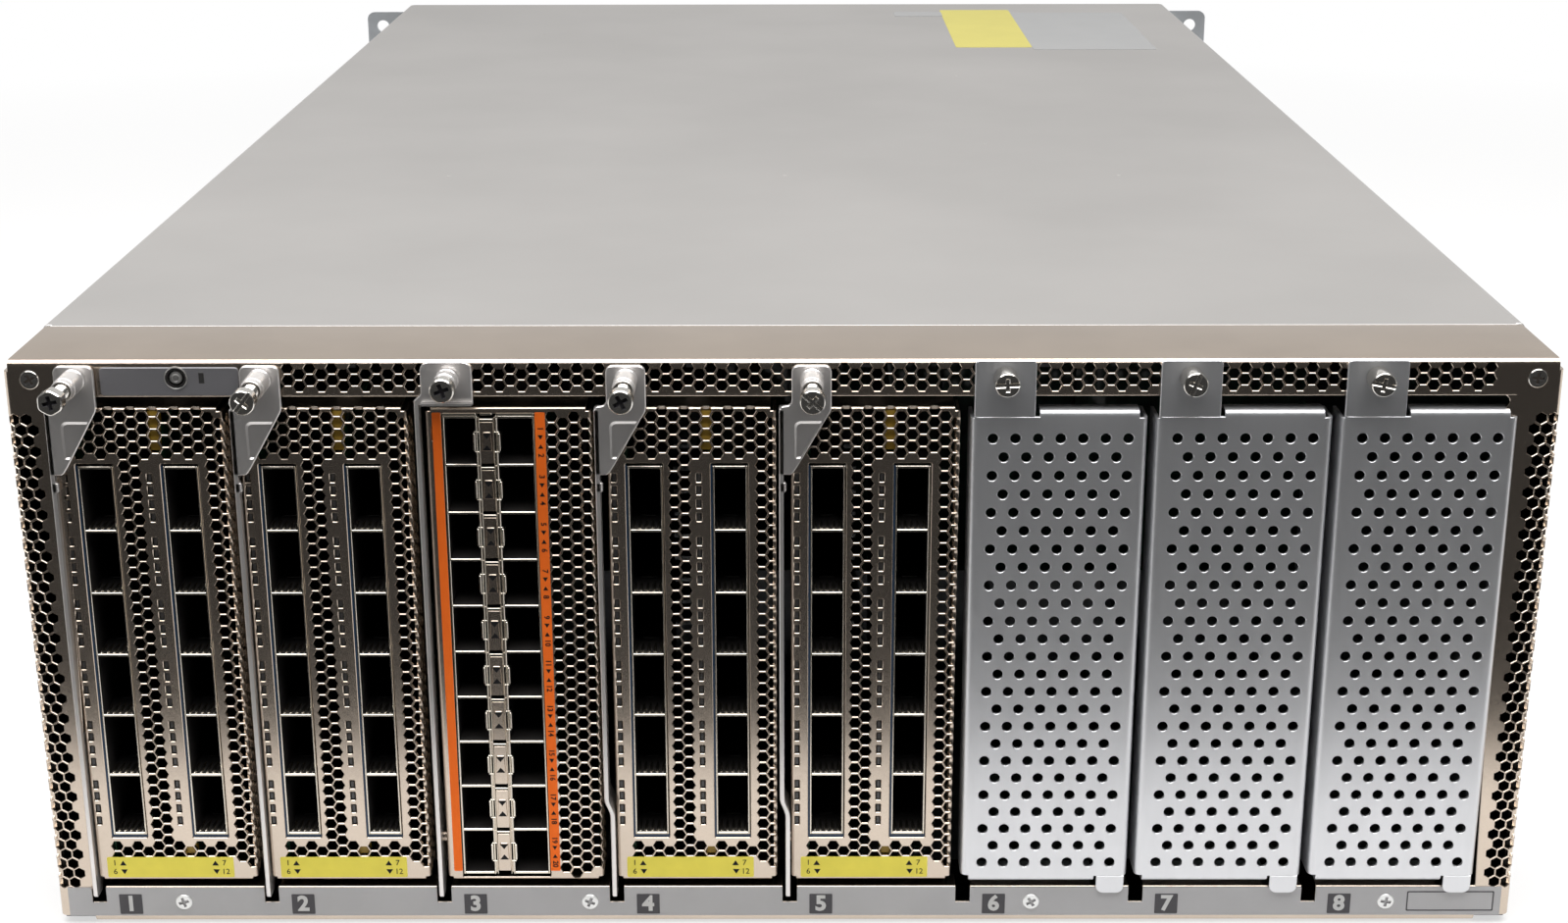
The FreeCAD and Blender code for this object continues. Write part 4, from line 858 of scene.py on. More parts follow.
def slim_label():
    """Two orange strips, with the port numbers and an arrow at each on the right one."""
    bm = bmesh.new()
    low, high = 17.2, 161.6
    left, right = 32.45, 35.35
    for one, two in ((3.35, 5.9), (left, right)):
        plate(bm, box_loop(one, low, two, high, 0.3), [], 0.12, 0.02, LABEL_FRONT)
    centre = (left + right) / 2
    for row in range(SLIM.rows):
        z = SLIM.low + (SLIM.rows - 1 - row) * SLIM.pitch + SLIM.pitch / 2
        for text, lift in ((str(2 * row + 1), 3.9), (str(2 * row + 2), -4.1)):
            add_words(bm, text, 2.2, (centre, LABEL_FRONT - 0.01, z + lift), 0.01, 0.06, math.pi / 2)
        for lift, tip in ((1.3, -0.65), (-1.4, 0.65)):
            arrow(bm, centre, z + lift, 0.75, tip, tip, LABEL_FRONT - 0.02)
    return bm


def make_slim_module():
    low, high = span(SLIM)
    (first, spine), (second, right) = SLIM.columns
    holes = [box_loop(first - 0.8, low - 0.8, right + 0.8, high + 0.8, 0.5)]
    holes.append(box_loop(1.9 + TRAY_BEND, 153.2, 2.9 + TRAY_BEND, 157.4, 0.2, 2))
    for k in range(7):
        x = SLIM_LATTICE_X + SLIM_COLUMN * k
        lift = ROW / 2 if k % 2 else 0.0
        for j in range(40):
            z = SLIM_LATTICE_Z - lift - ROW * j
            if z > 16.3 and (k < 4 or 18 < z < 159):
                holes.append(hexagon(x, z, HEX))
    face = tray(SLIM.left, SLIM.right, holes, SLIM.wall)
    cage = bmesh.new()
    for left, edge in SLIM.columns:
        cage_column(cage, left, edge, SLIM, 0.8, 7, 3, 11, (6.4,))
    latch_spine(cage, spine, second)
    # painted shade inside the cages
    darken_inside(cage)
    for name, bm, materials, replaced, slot, weld in (
            ("port_face", face, [NICKEL], "module_tray", "nickel_steel", True),
            ("port_cage", cage, [CAGE, DARK_AND_SHADE, GOLD, NICKEL, INK], "port_cages", "nickel_cage", False),
            ("port_label", slim_label(), [ORANGE, INK], None, None, False)):
        family(name, (SLIM_SLOT,), notch, bm, materials, "module", replaced, slot, weld=weld)


# ---------------------------------------------------------------- levers and captive screws

LEVER_SHEET, LEVER_FRONT, LEVER_LEFT, LEVER_JOG = 1.3, -2.1, -1.2, 1.7
LEVER_TOP, GRIP_LOW = 175.8, 143.6
EAR_LEFT, EAR_RIGHT, EAR_BORE = 3.6, 14.8, 3.0
JOG_LOW, JOG_HIGH, JOG_STEPS = 36.0, 42.0, 6
FERRULE_END, FERRULE_SEATED = -14.0, -10.0
WIDE_ACROSS, SLIM_ACROSS = 9.3, 8.5
SLIM_LEVER_LEFT, SLIM_LEVER_RIGHT = 0.9, 15.4
NECK, THREAD = 2.2, 0.35
SCREW_HEAD, SLOT_HALF = 3.45, 0.42


def add_bar(bm, left, high):
    """The lever's upright bar in its own plane, stepped sideways where the slot asks for it."""
    outline = rounded(
        [(LEVER_FRONT, 9.3), (3.6, 9.3), (10, 20.8), (10, 40.6), (4.5, 46), (2.5, high), (LEVER_FRONT, high)],
        [0.8, 1.5, 3, 2, 3, 0.5, 0.5])
    pivot = circle(PIN_DEPTH, PIN_LEVEL, PIN_RADIUS + 0.15, 24)
    made = added(bm, plate, outline, [pivot], LEVER_SHEET, 0.25)
    for step in range(JOG_STEPS + 1):
        level = JOG_LOW + (JOG_HIGH - JOG_LOW) * step / JOG_STEPS
        geom = made + linked(made, "link_edges") + linked(made, "link_faces")
        cut = bmesh.ops.bisect_plane(bm, geom=geom, dist=1e-4, plane_co=(0, 0, level), plane_no=(0, 0, 1))
        made = list(dict.fromkeys(made + [g for g in cut["geom"] if isinstance(g, bmesh.types.BMVert)]))
    for vert in made:
        share = min(1, max(0, (vert.co.z - JOG_LOW) / (JOG_HIGH - JOG_LOW)))
        share = share * share * (3 - 2 * share)
        depth, across = vert.co.x, vert.co.y
        vert.co.x = LEVER_LEFT + (left - LEVER_LEFT) * share + across
        vert.co.y = depth


def ferrule(bm, across, end):
    """Flanged ferrule pressed into the ear, with a clear bore."""
    bore, ear = NECK + 0.3, LEVER_FRONT
    profile = [(bore, ear + 1.0), (bore, end + 0.35), (bore + 0.3, end), (2.95, end), (3.1, end + 0.3),
               (3.1, end + 2.2), (3.3, end + 2.5), (3.3, ear - 2.3), (3.05, ear - 1.9), (3.05, ear - 1.1),
               (3.3, ear - 0.8), (3.3, ear + 1.0)]
    lathe(bm, profile, (across, 0, SCREW_LEVEL), sides=36, caps=False)


def wide_lever(slot):
    left = LEVER_LEFT - (LEVER_JOG if slot in JOGGED_SLOTS else 0)
    ear_l, ear_r = left + EAR_LEFT, left + EAR_RIGHT
    outline = rounded(
        [(left, GRIP_LOW), (left + 3.6, GRIP_LOW), (left + 5.2, GRIP_LOW + 2.4), (ear_r, FACE_HIGH - 0.4),
         (ear_r, LEVER_TOP), (ear_l, LEVER_TOP), (ear_l, FACE_HIGH + 0.8), (left, FACE_HIGH + 0.8)],
        [0.3, 1.4, 2.5, 4, 2.0, 2.0, 1.6, 1.8], 5)
    dent, floor = (
        rounded([(left + u, GRIP_LOW + v) for u, v in points], radii, 4) for points, radii in (
            (((4.3, 16.0), (12.4, 16.0), (6.05, 4.8), (4.5, 4.8)), (1.8, 0.25, 0.25, 0.5)),
            (((5.0, 15.1), (11.82, 15.1), (6.2, 5.3), (5.0, 5.3)), (1.3, 0.2, 0.2, 0.3))))
    across = left + WIDE_ACROSS
    bm = bmesh.new()
    bore = circle(across, SCREW_LEVEL, EAR_BORE, 24)
    plate(bm, outline, [bore], LEVER_SHEET, 0.25, LEVER_FRONT, dents=[(dent, 0.4, floor)])
    add_bar(bm, left, FACE_HIGH)
    ferrule(bm, across, FERRULE_END)
    block(bm, (left + 0.05, LEVER_FRONT, GRIP_LOW - 5.4), (left + 2.1, -0.6, GRIP_LOW - 2.2), 0.4, segments=3)
    return bm


def slim_lever():
    low, left, right = FACE_HIGH + 1.2, SLIM_LEVER_LEFT, SLIM_LEVER_RIGHT
    points = [(LEVER_LEFT, low), (right, low), (right, HEIGHT), (left, HEIGHT), (left, low + 3),
              (LEVER_LEFT, low + 1.2)]
    bm = bmesh.new()
    bore = circle(SLIM_ACROSS, SCREW_LEVEL, EAR_BORE, 24)
    plate(bm, rounded(points, [0, 0, 2.6, 2.6, 1.0, 0.3]), [bore], LEVER_SHEET, 0.25, LEVER_FRONT)
    block(bm, (left, LEVER_FRONT - 1.5, low), (right, LEVER_FRONT + 0.3, low + 1.2), 0.3, segments=2)
    add_bar(bm, LEVER_LEFT, low + 0.6)
    ferrule(bm, SLIM_ACROSS, FERRULE_SEATED)
    return bm


def make_levers():
    for slot in WIDE_SLOTS + (SLIM_SLOT,):
        bm = slim_lever() if slot == SLIM_SLOT else wide_lever(slot)
        family("lever_arm", (slot,), notch, bm, [LEVER], "lever", "ejector_lever", "zinc_steel", smooth=18)


def slotted_head(bm, radius, front, length, turn):
    """A slot that runs right across a head: two half discs, each with one arm of a cross cut into it."""
    cut = SLOT_HALF
    tip_angle = math.asin(cut / radius)
    arc = [tip_angle + (math.pi - 2 * tip_angle) * i / 24 for i in range(25)]
    disc = [(radius * math.cos(a), radius * math.sin(a)) for a in arc]
    disc += [(-0.45, cut), (-0.38, cut + 1.3), (0.38, cut + 1.3), (0.45, cut)]
    for spin in (turn, turn + math.pi):
        plate(bm, spun(disc, spin), [], 0.9, 0.26, front)
    plate(bm, circle(0, 0, radius, 48), [], length - 0.8, 0.05, front + 0.8)


def captive_screw(slot, style, turn, front=-25.0, length=4.0, tip=-0.4):
    """Turned screw: a head with its driver recess, a threaded neck and a pointed tip."""
    bm = bmesh.new()
    if style == "slot":
        slotted_head(bm, SCREW_HEAD, front, length, turn)
    else:
        outline, radius = circle(0, 0, SCREW_HEAD, 36), SCREW_HEAD
        if style == "hex":
            outline, radius = rounded(circle(0, 0, 3.85, 6, 0.5), [1.7] * 6, 3), 3.3
        # the driver recess takes the piece's second, dark material as painted shade
        plate(bm, outline, [], length, 0.35, front, dents=[(cross(radius, turn), 1.1, 0.15, 1)])
    start = front + length
    profile = [(NECK * 0.95, start - 0.4), (NECK, start)]
    along = start + 0.5
    while along < tip - 1.6:
        profile += [(NECK, along), (NECK * 0.86, along + THREAD)]
        along += 2 * THREAD
    profile += [(NECK * 0.86, tip - 1.2), (NECK * 0.55, tip)]
    lathe(bm, profile, (0, 0, 0), sides=24)
    family("screw_turned", (slot,), screw_at, bm, [SCREW, TILE], "screw", "captive_screw", "screw_steel",
           z=SCREW_LEVEL)


def make_captive_screws():
    for slot, style, turn in ((1, "hex", 0.2), (2, "slot", 0.9), (4, "cross", 0.5), (5, "slot", -0.7)):
        captive_screw(slot, style, turn)
    captive_screw(3, "cross", 0.35, -14.0, 3.7, 5.8)
    for slot, turn in zip(BLANK_SLOTS, (0.05, 1.2, -0.2)):
        captive_screw(slot, "slot", turn, -9.0, 7.3, 5.8)


# ---------------------------------------------------------------- blank panels

BLANK_FRONT, BLANK_LEFT, BLANK_RIGHT, BLANK_HIGH, BLANK_BEND = -1.4, -0.9, 49.1, 162.5, 2.0
BLANK_HOLE = SimpleNamespace(left=5.4, high=154.1, pitch=6.39, row=5.56, rows=25, radius=1.55)


def blank_panel():
    arc = BLANK_BEND * math.pi / 2
    deep, top_deep = PAN + arc - BLANK_BEND, 6 + arc - BLANK_BEND
    start_l, start_r = BLANK_LEFT + BLANK_BEND, BLANK_RIGHT - BLANK_BEND
    start_t, start_b = BLANK_HIGH - BLANK_BEND, FACE_LOW + BLANK_BEND
    outline = [
        (start_l + 0.4, start_b), (start_l + 0.4, start_b - deep), (39.2, start_b - deep), (39.2, start_b),
        (start_r - 0.3, start_b), (start_r + deep, start_b + 0.3), (start_r + deep, start_t - 0.3),
        (start_r - 0.4, start_t - 0.3), (start_r - 0.4, start_t + top_deep), (18.5, start_t + top_deep),
        (18.5, start_t), (17.2, start_t), (0.0, start_t), (0.0, start_t - 0.4),
        (start_l - deep, start_t - 0.4), (start_l - deep, start_b + 0.3), (start_l + 0.4, start_b + 0.3),
    ]
    holes = []
    for row in range(BLANK_HOLE.rows):
        z = BLANK_HOLE.high - BLANK_HOLE.row * row
        count, first = (6, 3.2) if row % 2 else (7, 0.0)
        holes += [circle(BLANK_HOLE.left + first + BLANK_HOLE.pitch * k, z, BLANK_HOLE.radius, 20)
                  for k in range(count)]
    bm = bmesh.new()
    plate(bm, outline, holes, TRAY_SHEET, 0.13)
    fold_sides(bm, start_l, start_r, start_b, start_t, BLANK_BEND)
    tab = rounded([(0.0, start_t), (17.2, start_t), (17.2, HEIGHT), (0.0, HEIGHT)], [0, 0, 1.2, 1.2])
    plate(bm, tab, [circle(8.5, SCREW_LEVEL, 2.6, 20)], TRAY_SHEET, 0.2)
    hook = rounded([(40, start_b + 0.1), (40, 10.3), (48.3, 10.3), (48.3, start_b + 0.1)], [0, 2.2, 2.2, 0])
    plate(bm, hook, [], TRAY_SHEET, 0.2)
    return bm


def make_blanks():
    family("vent_panel", BLANK_SLOTS, notch, blank_panel(), [BLANK], "blank", "blank_panel", "blank_steel",
           BLANK_FRONT)


# ---------------------------------------------------------------- back: fans, supplies and management

STEEL, BACK = 1.3, 748.0
PLATE_BACK, FAN_PLATE_FRONT = BACK + 2 * STEEL, BACK + STEEL
FAN_HALF, FAN_HALF_TALL, FAN_LAP, FAN_DEEP = 50.5, 52.0, 2.0, 86.0
BORE, HUB, TIP, BLADES = 47.0, 18.0, 45.0, 7
BLADE_SPANS, BLADE_CHORDS = 7, 8
MOTOR, GUARD, GUARD_RINGS = 16.0, 1.6, (24.5, 30.5, 36.5, 42.5, 48.3)
BAIL_BACK, BAIL = 775.0, 4.0
SUPPLY_HALF, SUPPLY_LOW, SUPPLY_HIGH, SUPPLY_DEEP = 41.0, 5.0, 55.0, 230.0
SUPPLY_FACE = BACK + 3 * STEEL
INLET = (-36.0, 15.9, -8.4, 36.1)
EXHAUST = SimpleNamespace(left=-2.0, low=10.0, right=36.0, high=39.0)
REAR_SCREW = dict(bevel=0.25 / 0.6, deep=0.5 / 0.6, sides=24)


def bail(bm, left, right, low, high, front):
    """Bail handle: a bar bent round two corners, seen from above as a loop open to the front."""
    loop = rounded([(left, BAIL_BACK), (right, BAIL_BACK), (right, front), (right - BAIL, front),
                    (right - BAIL, BAIL_BACK - BAIL), (left + BAIL, BAIL_BACK - BAIL), (left + BAIL, front),
                    (left, front)], [5, 5, 0, 0, 2, 2, 0, 0], 6)
    placed(bm, laid(high), plate, loop, [], high - low, 1.1, mat=1)


def fan_housing():
    """Steel plate and plastic duct, motor on four arms inside a wire finger guard, and the handle."""
    bm = bmesh.new()
    back = PLATE_BACK
    wide, tall = FAN_HALF + FAN_LAP, FAN_HALF_TALL + FAN_LAP
    bore = circle(0, 0, BORE, 64)
    turned = turned_back(0, back)
    placed(bm, turned, plate, box_loop(-wide, -tall, wide, tall, 1.5), [bore], STEEL, 0.3)
    duct = box_loop(-FAN_HALF, -FAN_HALF_TALL, FAN_HALF, FAN_HALF_TALL, 2.0)
    placed(bm, turned, plate, duct, [bore], FAN_DEEP, 0.0, STEEL, mat=1)
    for x, z in ((-46, 47.5), (46, 47.5), (-46, -47.5), (46, -47.5)):
        flat_screw(bm, turned_back(x, back + 0.35, z), 2.6, x, **REAR_SCREW)
    for radius in GUARD_RINGS:
        hoop(bm, radius, 0.75, back + GUARD / 2, 64, 2)
    reach, cover = BORE + 3, back + GUARD
    block(bm, (-reach, back, -2), (reach, cover - 0.1, 2), 0.5, mat=1)
    block(bm, (-2, back, -reach), (2, cover - 0.1, reach), 0.5, mat=1)
    for profile, mat in (([(HUB - 0.6, cover), (HUB, cover - 0.6), (HUB, back - MOTOR)], 1),
                         ([(HUB - 3.2, cover + 0.02), (HUB - 2.9, cover - 0.15)], 3)):
        lathe(bm, profile, (0, 0, 0), sides=48, mat=mat)
    bail(bm, -30.0, 30.0, -tall, 5.0 - tall, FAN_PLATE_FRONT)
    block(bm, (38, back - 0.2, -50.5), (41, back + 0.5, -48.5), 0.25, mat=4)
    return bm


def blade_row(bm, turn, side, share):
    """One section across a blade; share runs from the hub to the tip, and the blade twists on its way."""
    radius = HUB - 1 + (TIP - HUB + 1) * share
    pitch = math.radians(48 + 14 * share)
    row = []
    for j in range(BLADE_CHORDS):
        s = 2 * j / (BLADE_CHORDS - 1) - 1
        thick = 1.1 * (1 - s * s) + 0.25
        along = s * 12.2 * math.cos(pitch) - 1.6 * (1 - s * s) + side * thick / 2
        angle = turn + s * 11.5 * math.sin(pitch) / radius + 0.10 * share
        row.append(bm.verts.new((radius * math.cos(angle), along, radius * math.sin(angle))))
    return row


def rotor():
    """Hub with seven cambered blades."""
    bm = bmesh.new()
    lathe(bm, [(HUB - 1.5, -14), (HUB, -12.5), (HUB, 12.5), (HUB - 1.5, 14)], (0, 0, 0), sides=48)
    last_span, last_chord = BLADE_SPANS - 1, BLADE_CHORDS - 1
    for blade in range(BLADES):
        turn = 2 * math.pi * blade / BLADES
        near, far = ([blade_row(bm, turn, side, i / last_span) for i in range(BLADE_SPANS)]
                     for side in (-1, 1))
        for i in range(last_span):
            for grid in (near, far):
                for j in range(last_chord):
                    bm.faces.new((grid[i][j], grid[i][j + 1], grid[i + 1][j + 1], grid[i + 1][j]))
            for j in (0, last_chord):
                bm.faces.new((near[i][j], near[i + 1][j], far[i + 1][j], far[i][j]))
        for i in (0, last_span):
            for j in range(last_chord):
                bm.faces.new((near[i][j], near[i][j + 1], far[i][j + 1], far[i][j]))
    return bm


def inlet_loop(grow):
    """Outline of the mains inlet, two of its corners cut round, seen from the back."""
    left, low, right, high = INLET
    loop = box_loop(-right - grow, low - grow, -left + grow, high + grow)
    return rounded(loop, [0.6, 0.6, 4 + grow, 4 + grow], 3)


def power_supply():
    """Case with its faceplate: mains inlet with three pins, honeycomb exhaust, lamps and a bail handle."""
    bm = bmesh.new()
    turned, face = turned_back(0, SUPPLY_FACE), SUPPLY_FACE
    outline = box_loop(-SUPPLY_HALF, SUPPLY_LOW, SUPPLY_HALF, SUPPLY_HIGH, 0.6, 2)
    well, vents = inlet_loop(0), []
    for k in range(12):
        for j in range(8):
            u, v = 17 + 2.95 * (k - 5.5), EXHAUST.low + 2.6 + 3.4 * j + (1.7 if k % 2 else 0)
            if v < EXHAUST.high - 1.8:
                vents.append(hexagon(-u, v, 2.8))
    placed(bm, turned, plate, outline, [well] + vents, 1.2, 0.15)
    grille = box_loop(-EXHAUST.right, EXHAUST.low, -EXHAUST.left, EXHAUST.high)
    placed(bm, turned, plate, grille, [], 0.2, 0.0, 1.4, mat=1)
    placed(bm, turned, plate, outline, [well], 15.0, 0.0, 1.7)
    block(bm, (-SUPPLY_HALF, face - SUPPLY_DEEP, SUPPLY_LOW), (SUPPLY_HALF, face - 16.7, SUPPLY_HIGH), 0.5)
    placed(bm, turned, plate, inlet_loop(1.4), [inlet_loop(-1.3)], 14.0, 0.3, -0.25, mat=1)
    placed(bm, turned, plate, well, [], 0.5, 0.0, 15.4, mat=1)
    left, low, right, high = INLET
    for across, up in ((-7, -2), (0, 3), (7, -2)):
        x, z = (left + right) / 2 + across, (low + high) / 2 + up
        block(bm, (x - 1, face - 15.5, z - 2.5), (x + 1, face - 3, z + 2.5), 0.5, mat=2)
    bail(bm, -22.0, 14.0, SUPPLY_HIGH - 7, SUPPLY_HIGH - 3, face)
    for x in (-32, -28):
        lathe(bm, [(1.0, face + 0.35), (1.2, face + 0.2), (1.2, face - 0.5)], (x, 0, 44.5), sides=20, mat=3)
    return bm


def supply_latch():
    """Spring latch beside the supply's handle, with a cranked thumb end."""
    points = [(-1.5, 2.8), (1.5, 2.8), (1.5, 16), (-3.5, 16), (-3.5, 13), (-1.5, 11)]
    bm = bmesh.new()
    placed(bm, laid(6), plate, rounded(points, [0, 0, 1.0, 0.8, 0.8, 1.0], 4), [], 6.0, 0.5)
    lathe(bm, [(2.1, 0), (2.5, 0.4), (2.5, 5.6), (2.1, 6)], (0, 2.8, 0), "Z", 24)
    return bm


def make_sockets():
    """Shields and contacts of the management sockets, and the panel's screws."""
    bm = bmesh.new()
    centre = mid("management_panel").x
    face, low, high = PLATE_BACK, 23.0, 35.0
    for left, wide in ((-24.0, 12.0), (-6.0, 12.0), (14.0, 6.0)):
        loop = box_loop(-left - wide, low, -left, high)
        turned = turned_back(centre, face + 0.3)
        placed(bm, turned, plate, offset(loop, 0.5), [offset(loop, -0.45)], 1.0, 0.15)
        x = centre + left
        for one, two in ((0.05, 0.4), (wide - 0.4, wide - 0.05)):
            block(bm, (x + one, face - 10, low), (x + two, face, high))
        if wide > 10:
            block(bm, (x + 0.6, face - 11, low + 8.6), (x + wide - 0.6, face - 2, low + 11.4), 0.2, mat=1)
            for pin in range(8):
                near = x + 1.7 + pin * 1.15
                block(bm, (near, face - 10, low + 7.9), (near + 0.4, face - 3, low + 8.3), mat=2)
        else:
            block(bm, (x + 2, face - 9, low + 1.5), (x + 3.4, face - 2, high - 1.5), 0.2, mat=1)
    for x, z in ((-37, 8), (37, 8), (-37, 52), (37, 52)):
        flat_screw(bm, turned_back(centre + x, face + 0.4, z), 2.2, z, **REAR_SCREW)
    piece("management_sockets", bm, [CAGE, BLACK, GOLD], "chassis", place=to_front())


def fan_x(bay):
    return mid(f"fan_frame_{bay}").x


def supply_x(bay):
    return mid(f"power_supply_{bay}").x


def latch_x(bay):
    return SUPPLY_HALF - 5 + supply_x(bay)


def make_rear():
    hub = mid("fan_rotor_1")
    family("fan_guard", BAYS, fan_x, fan_housing(), [ZINC, BLACK, LEVER, PLATE, LAMP_GREEN], "fan",
           "fan_frame", "black_plastic", z=hub.z)
    family("fan_wheel", BAYS, fan_x, rotor(), [ROTOR], "rotor", "fan_rotor", "black_plastic",
           hub.y - FACE, hub.z)
    family("supply_case", BAYS, supply_x, power_supply(), [ZINC, BLACK, CAGE, LAMP_GREEN], "supply",
           "power_supply", "galvanised")
    family("thumb_latch", BAYS, latch_x, supply_latch(), [BLACK], "latch", "supply_latch", "black_plastic",
           SUPPLY_FACE, SUPPLY_HIGH - 8)


# ---------------------------------------------------------------- circuit boards

BOARD_THICK, BOARD_FRONT, BOARD_BACK, BOARD_LOW, BOARD_HIGH = 1.6, 2.0, 245.0, 18.0, 159.0
MEZZANINE_BACK, WIDE_STEP, SLIM_STEP = 180.0, 24.3, 27.6
SINK_FRONT, SINK_BACK, SINK_LOW, SINK_HIGH, SINK_BASE, SINK_REACH = 100.0, 160.0, 56.0, 120.0, 3.0, 16.0
PLUG_FRONT, PLUG_BACK, PLUG_LOW, PLUG_HIGH, PLUG_REACH, PLUG_PITCH = 237.0, 253.0, 46.0, 130.0, 12.0, 3.5
# single chips on the main board: depth, level, length, height and, if they differ, thickness and material
CHIPS = ((196, 88, 27, 27, 2.4), (196, 88, 20, 20, 2.7, 5), (130, 138, 22, 14), (130, 36, 22, 14),
         (200, 134, 14, 10), (216, 40, 16, 12, 5.0))
# rows of eight on the main board (0) or the second (1): depth and its step, level and its step, then as above
CHIP_ROWS = ((0, 96, 9, 150, 0, 6, 4), (0, 92, 7, 24, 0, 3.2, 1.8, 0.9, 4), (0, 92, 0, 60, 9, 5, 5),
             (0, 170, 0, 62, 8, 3.2, 1.8, 0.8, 4), (0, 222, 0, 66, 7, 2.2, 4.0, 0.8, 4),
             (1, 90, 11, 144, 0, 7, 5), (1, 90, 11, 30, 0, 3.2, 1.8, 0.9, 4))


def chip(bm, x, depth, level, long, tall, thick=1.2, mat=2):
    front, low = depth - long / 2, level - tall / 2
    block(bm, (x, front, low), (x + thick, front + long, low + tall), 0.2, mat=mat)


def can(bm, depth, level, radius=3.0, tall=6.0):
    """Round capacitor standing on the main board."""
    block(bm, (0, depth - radius, level - radius), (0.9, depth + radius, level + radius), 0.5, mat=2)
    profile = [(radius - 0.3, 0.9), (radius - 0.2, tall - 0.4), (radius - 0.6, tall)]
    lathe(bm, profile, (0, depth, level), "X", 24, mat=4)


def boards(step):
    """Main board with heat sink, chips and midplane plug, and a second board; x counts from the main one."""
    bm = bmesh.new()
    block(bm, (-BOARD_THICK, BOARD_FRONT, BOARD_LOW), (0, BOARD_BACK, BOARD_HIGH), 0.1)
    block(bm, (step - BOARD_THICK, BOARD_FRONT, BOARD_LOW + 2), (step, MEZZANINE_BACK, BOARD_HIGH - 2), 0.1)
    block(bm, (0, SINK_FRONT, SINK_LOW), (SINK_BASE, SINK_BACK, SINK_HIGH), 0.2, mat=1)
    for fin in range(9):
        level = SINK_LOW + 7.8 * fin
        block(bm, (SINK_BASE, SINK_FRONT, level), (SINK_REACH, SINK_BACK, level + 1.6), 0.2, mat=1)
    back, reach = PLUG_BACK, PLUG_REACH
    block(bm, (0, PLUG_FRONT, PLUG_LOW), (reach, back - 3, PLUG_HIGH), 0.4, mat=2)
    for row in range(int((PLUG_HIGH - PLUG_LOW - 2) / PLUG_PITCH)):
        level = PLUG_LOW + 1.4 + row * PLUG_PITCH
        block(bm, (0.6, back - 3.2, level), (reach - 0.6, back, level + PLUG_PITCH - 1.2), 0.25, mat=2)
        for pin in range(5):
            x = 1.8 + 2.0 * pin
            block(bm, (x, back - 0.4, level + 0.7), (x + 0.8, back - 0.02, level + 1.5), mat=3)
    for row in CHIPS:
        chip(bm, 0, *row)
    for k in range(8):
        can(bm, 176 + 8.5 * (k % 4), 28 + 9 * (k // 4))
        for board, depth, depth_step, level, level_step, *form in CHIP_ROWS:
            chip(bm, board * step, depth + depth_step * k, level + level_step * k, *form)
        chip(bm, step, 100 + 8 * (k % 4), 50 + 8 * (k // 4), 4, 4)
    for level in (60, 88, 116):
        chip(bm, step, 140, level, 17, 17, 1.6)
        chip(bm, step, 110, level, 12, 8)
    return bm


def board_x(slot):
    return low_of(f"port_boards_{slot}").x + BOARD_THICK


def make_boards():
    for slots, step in ((WIDE_SLOTS, WIDE_STEP), ((SLIM_SLOT,), SLIM_STEP)):
        family("module_boards", slots, board_x, boards(step), [BOARD, ALUMINIUM, BLACK, GOLD, LEVER, PLATE],
               "module", "port_boards", "circuit_board")


# ---------------------------------------------------------------- nodes that stay, with better materials

def dress(material, *names):
    for name in names:
        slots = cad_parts[name].material_slots
        for entry in slots:
            entry.material = material
        if not slots:
            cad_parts[name].data.materials.append(material)


def inner_dark(front, back):
    """Galvanised steel with painted shade: black in front of a depth, fading into the plain steel behind it.
    """
    made = finish_of("galvanised_painted_shade_front", **GALVANISED)
    tree = made.node_tree
    base = tree.nodes["Principled BSDF"].inputs["Base Color"]
    place = node(tree, "TexCoord").outputs["Object"]
    depth = node(tree, "SeparateXYZ", {"Vector": place}).outputs["Y"]
    ends = {"From Min": (FACE + front) * MM, "From Max": (FACE + back) * MM}
    share = node(tree, "MapRange", {"Value": depth, **ends}).outputs["Result"]
    # painted shade: near black in front, the galvanised colour behind
    black, steel = (0.012, 0.011, 0.010, 1), base.links[0].from_socket
    mix = node(tree, "Mix", {"Factor": share, "A": black, "B": steel}, data_type="RGBA")
    tree.links.new(mix.outputs["Result"], base)
    return made


def dress_nodes():
    # painted shade: the base's front part, seen through the bezel's side vents, is painted black
    dress(inner_dark(37.2, 38.2), "chassis_base")
    dress(ZINC, "card_guides", "rear_frame", "rack_ear_left", "rack_ear_right", "management_panel")
    dress(GREY_LABEL, "slot_label_strip")
    dress(BOARD, "midplane_board")


# ---------------------------------------------------------------- floor, light and camera

def seen_share(tree):
    """The camera's own rays, and these with the ones that it sends by way of gloss or glass."""
    rays = node(tree, "LightPath").outputs
    seen = rays["Is Camera Ray"]
    for kind in ("Is Glossy Ray", "Is Transmission Ray"):
        seen = maths(tree, "MAXIMUM", seen, rays[kind])
    return rays["Is Camera Ray"], seen


def pale_floor():
    """Plain pale floor, seen lifted towards white. Its lift grows with the distance from the object, so that
    the object's shadow stays."""
    pale = finish_of("pale_floor", (0.92, 0.91, 0.90), 0.7, tint=0.01, blotch=3, grain=300, spec=0.2)
    tree = pale.node_tree
    place = node(tree, "NewGeometry").outputs["Position"]
    reach = node(tree, "VectorMath", {0: place}, operation="LENGTH").outputs["Value"]
    ends = {"From Min": 0.50, "From Max": 1.4, "To Min": 0.62, "To Max": 1.0}
    lift = node(tree, "MapRange", {"Value": reach, **ends}).outputs["Result"]
    share = maths(tree, "MULTIPLY", seen_share(tree)[1], lift)
    plain, glow = tree.nodes["Principled BSDF"].outputs["BSDF"], node(tree, "Emission").outputs["Emission"]
    mix = node(tree, "MixShader", {"Fac": share, 1: plain, 2: glow})
    tree.links.new(mix.outputs["Shader"], tree.nodes["Material Output"].inputs["Surface"])
    return pale


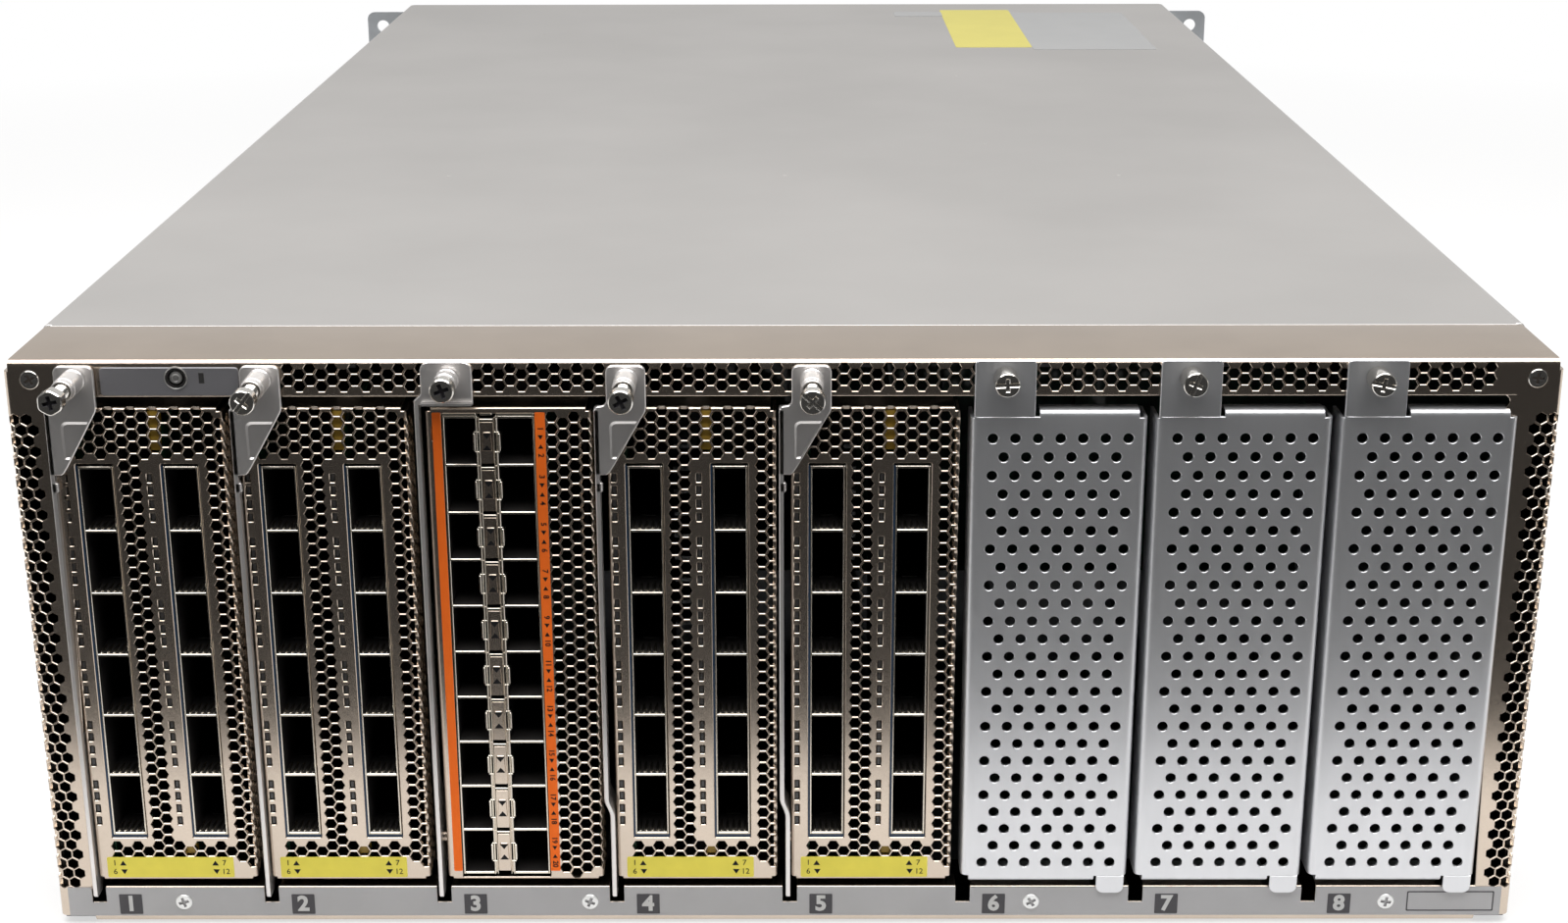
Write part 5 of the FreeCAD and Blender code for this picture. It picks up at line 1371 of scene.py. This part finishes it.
def make_stage():
    mesh = bpy.data.meshes.new("floor")
    left, right, near, far = -4.0, 4.0, -0.50, 6.0
    mesh.from_pydata([(left, near, 0), (right, near, 0), (right, far, 0), (left, far, 0)], [], [(0, 1, 2, 3)])
    mesh.materials.append(pale_floor())
    floor = bpy.data.objects.new("floor", mesh)
    bpy.context.scene.collection.objects.link(floor)
    floor.location.z = -0.0005


def area_light(name, place, target, size, power):
    data = bpy.data.lights.new(name, "AREA")
    data.shape, data.size, data.size_y = "RECTANGLE", size[0], size[1]
    data.energy = power
    lamp = bpy.data.objects.new(name, data)
    lamp.location = place
    lamp.rotation_euler = (Vector(target) - Vector(place)).to_track_quat("-Z", "Y").to_euler()
    bpy.context.scene.collection.objects.link(lamp)


def direction_ramp(tree, axis, stops):
    """A grey over one axis of the world's direction: stops are (position from -1 to 1, grey)."""
    place = node(tree, "TexCoord").outputs["Generated"]
    along = node(tree, "SeparateXYZ", {"Vector": place}).outputs[axis]
    spread = node(tree, "MapRange", {"Value": along, "From Min": -1}).outputs["Result"]
    return ramp(tree, spread, [((spot + 1) / 2, (grey,) * 3) for spot, grey in stops])


def make_world():
    """A studio that is pale behind and to the sides and dim in front. The camera sees its backdrop as white,
    and so do gloss and glass where they look back along the floor to the backdrop's foot."""
    world = bpy.data.worlds.new("studio")
    bpy.context.scene.world = world
    world.use_nodes = True
    tree = world.node_tree
    tree.nodes.clear()
    studio = direction_ramp(tree, "Y", ((-0.3, 0.045), (0.5, 0.62)))
    surround, white = (node(tree, "Background", {"Color": colour}).outputs["Background"]
                       for colour in (studio, (1, 1, 1, 1)))
    camera, seen = seen_share(tree)
    low = direction_ramp(tree, "Z", ((0.02, 1), (0.14, 0)))
    behind = direction_ramp(tree, "Y", ((0.2, 0), (0.7, 1)))
    foot = maths(tree, "MULTIPLY", seen, maths(tree, "MULTIPLY", low, behind))
    mix = node(tree, "MixShader", {"Fac": maths(tree, "MAXIMUM", foot, camera), 1: surround, 2: white})
    node(tree, "OutputWorld", {"Surface": mix.outputs["Shader"]})


def make_camera():
    data = bpy.data.cameras.new("camera")
    data.lens, data.sensor_width = 54.75, 36
    camera = bpy.data.objects.new("camera", data)
    camera.location = (0.0019, -1.0187, 0.3592)
    pan, tilt, roll = (math.radians(angle) for angle in (0.15, 71.75, -0.11))
    look = Matrix.Rotation(pan, 3, "Z") @ Matrix.Rotation(tilt, 3, "X")
    camera.rotation_euler = (look @ Matrix.Rotation(roll, 3, "Z")).to_euler()
    bpy.context.scene.collection.objects.link(camera)
    bpy.context.scene.camera = camera


make_bezel()
make_lid()
make_small_screws()
make_strip()
make_beacon()
make_wide_modules()
make_slim_module()
make_levers()
make_captive_screws()
make_blanks()
make_rear()
make_sockets()
make_boards()
dress_nodes()
make_stage()
area_light("overhead", (0, -0.55, 1.6), (0, -0.45, 0), (2.6, 1.7), 60)
make_world()
make_camera()
bpy.context.scene.view_settings.view_transform = "Standard"
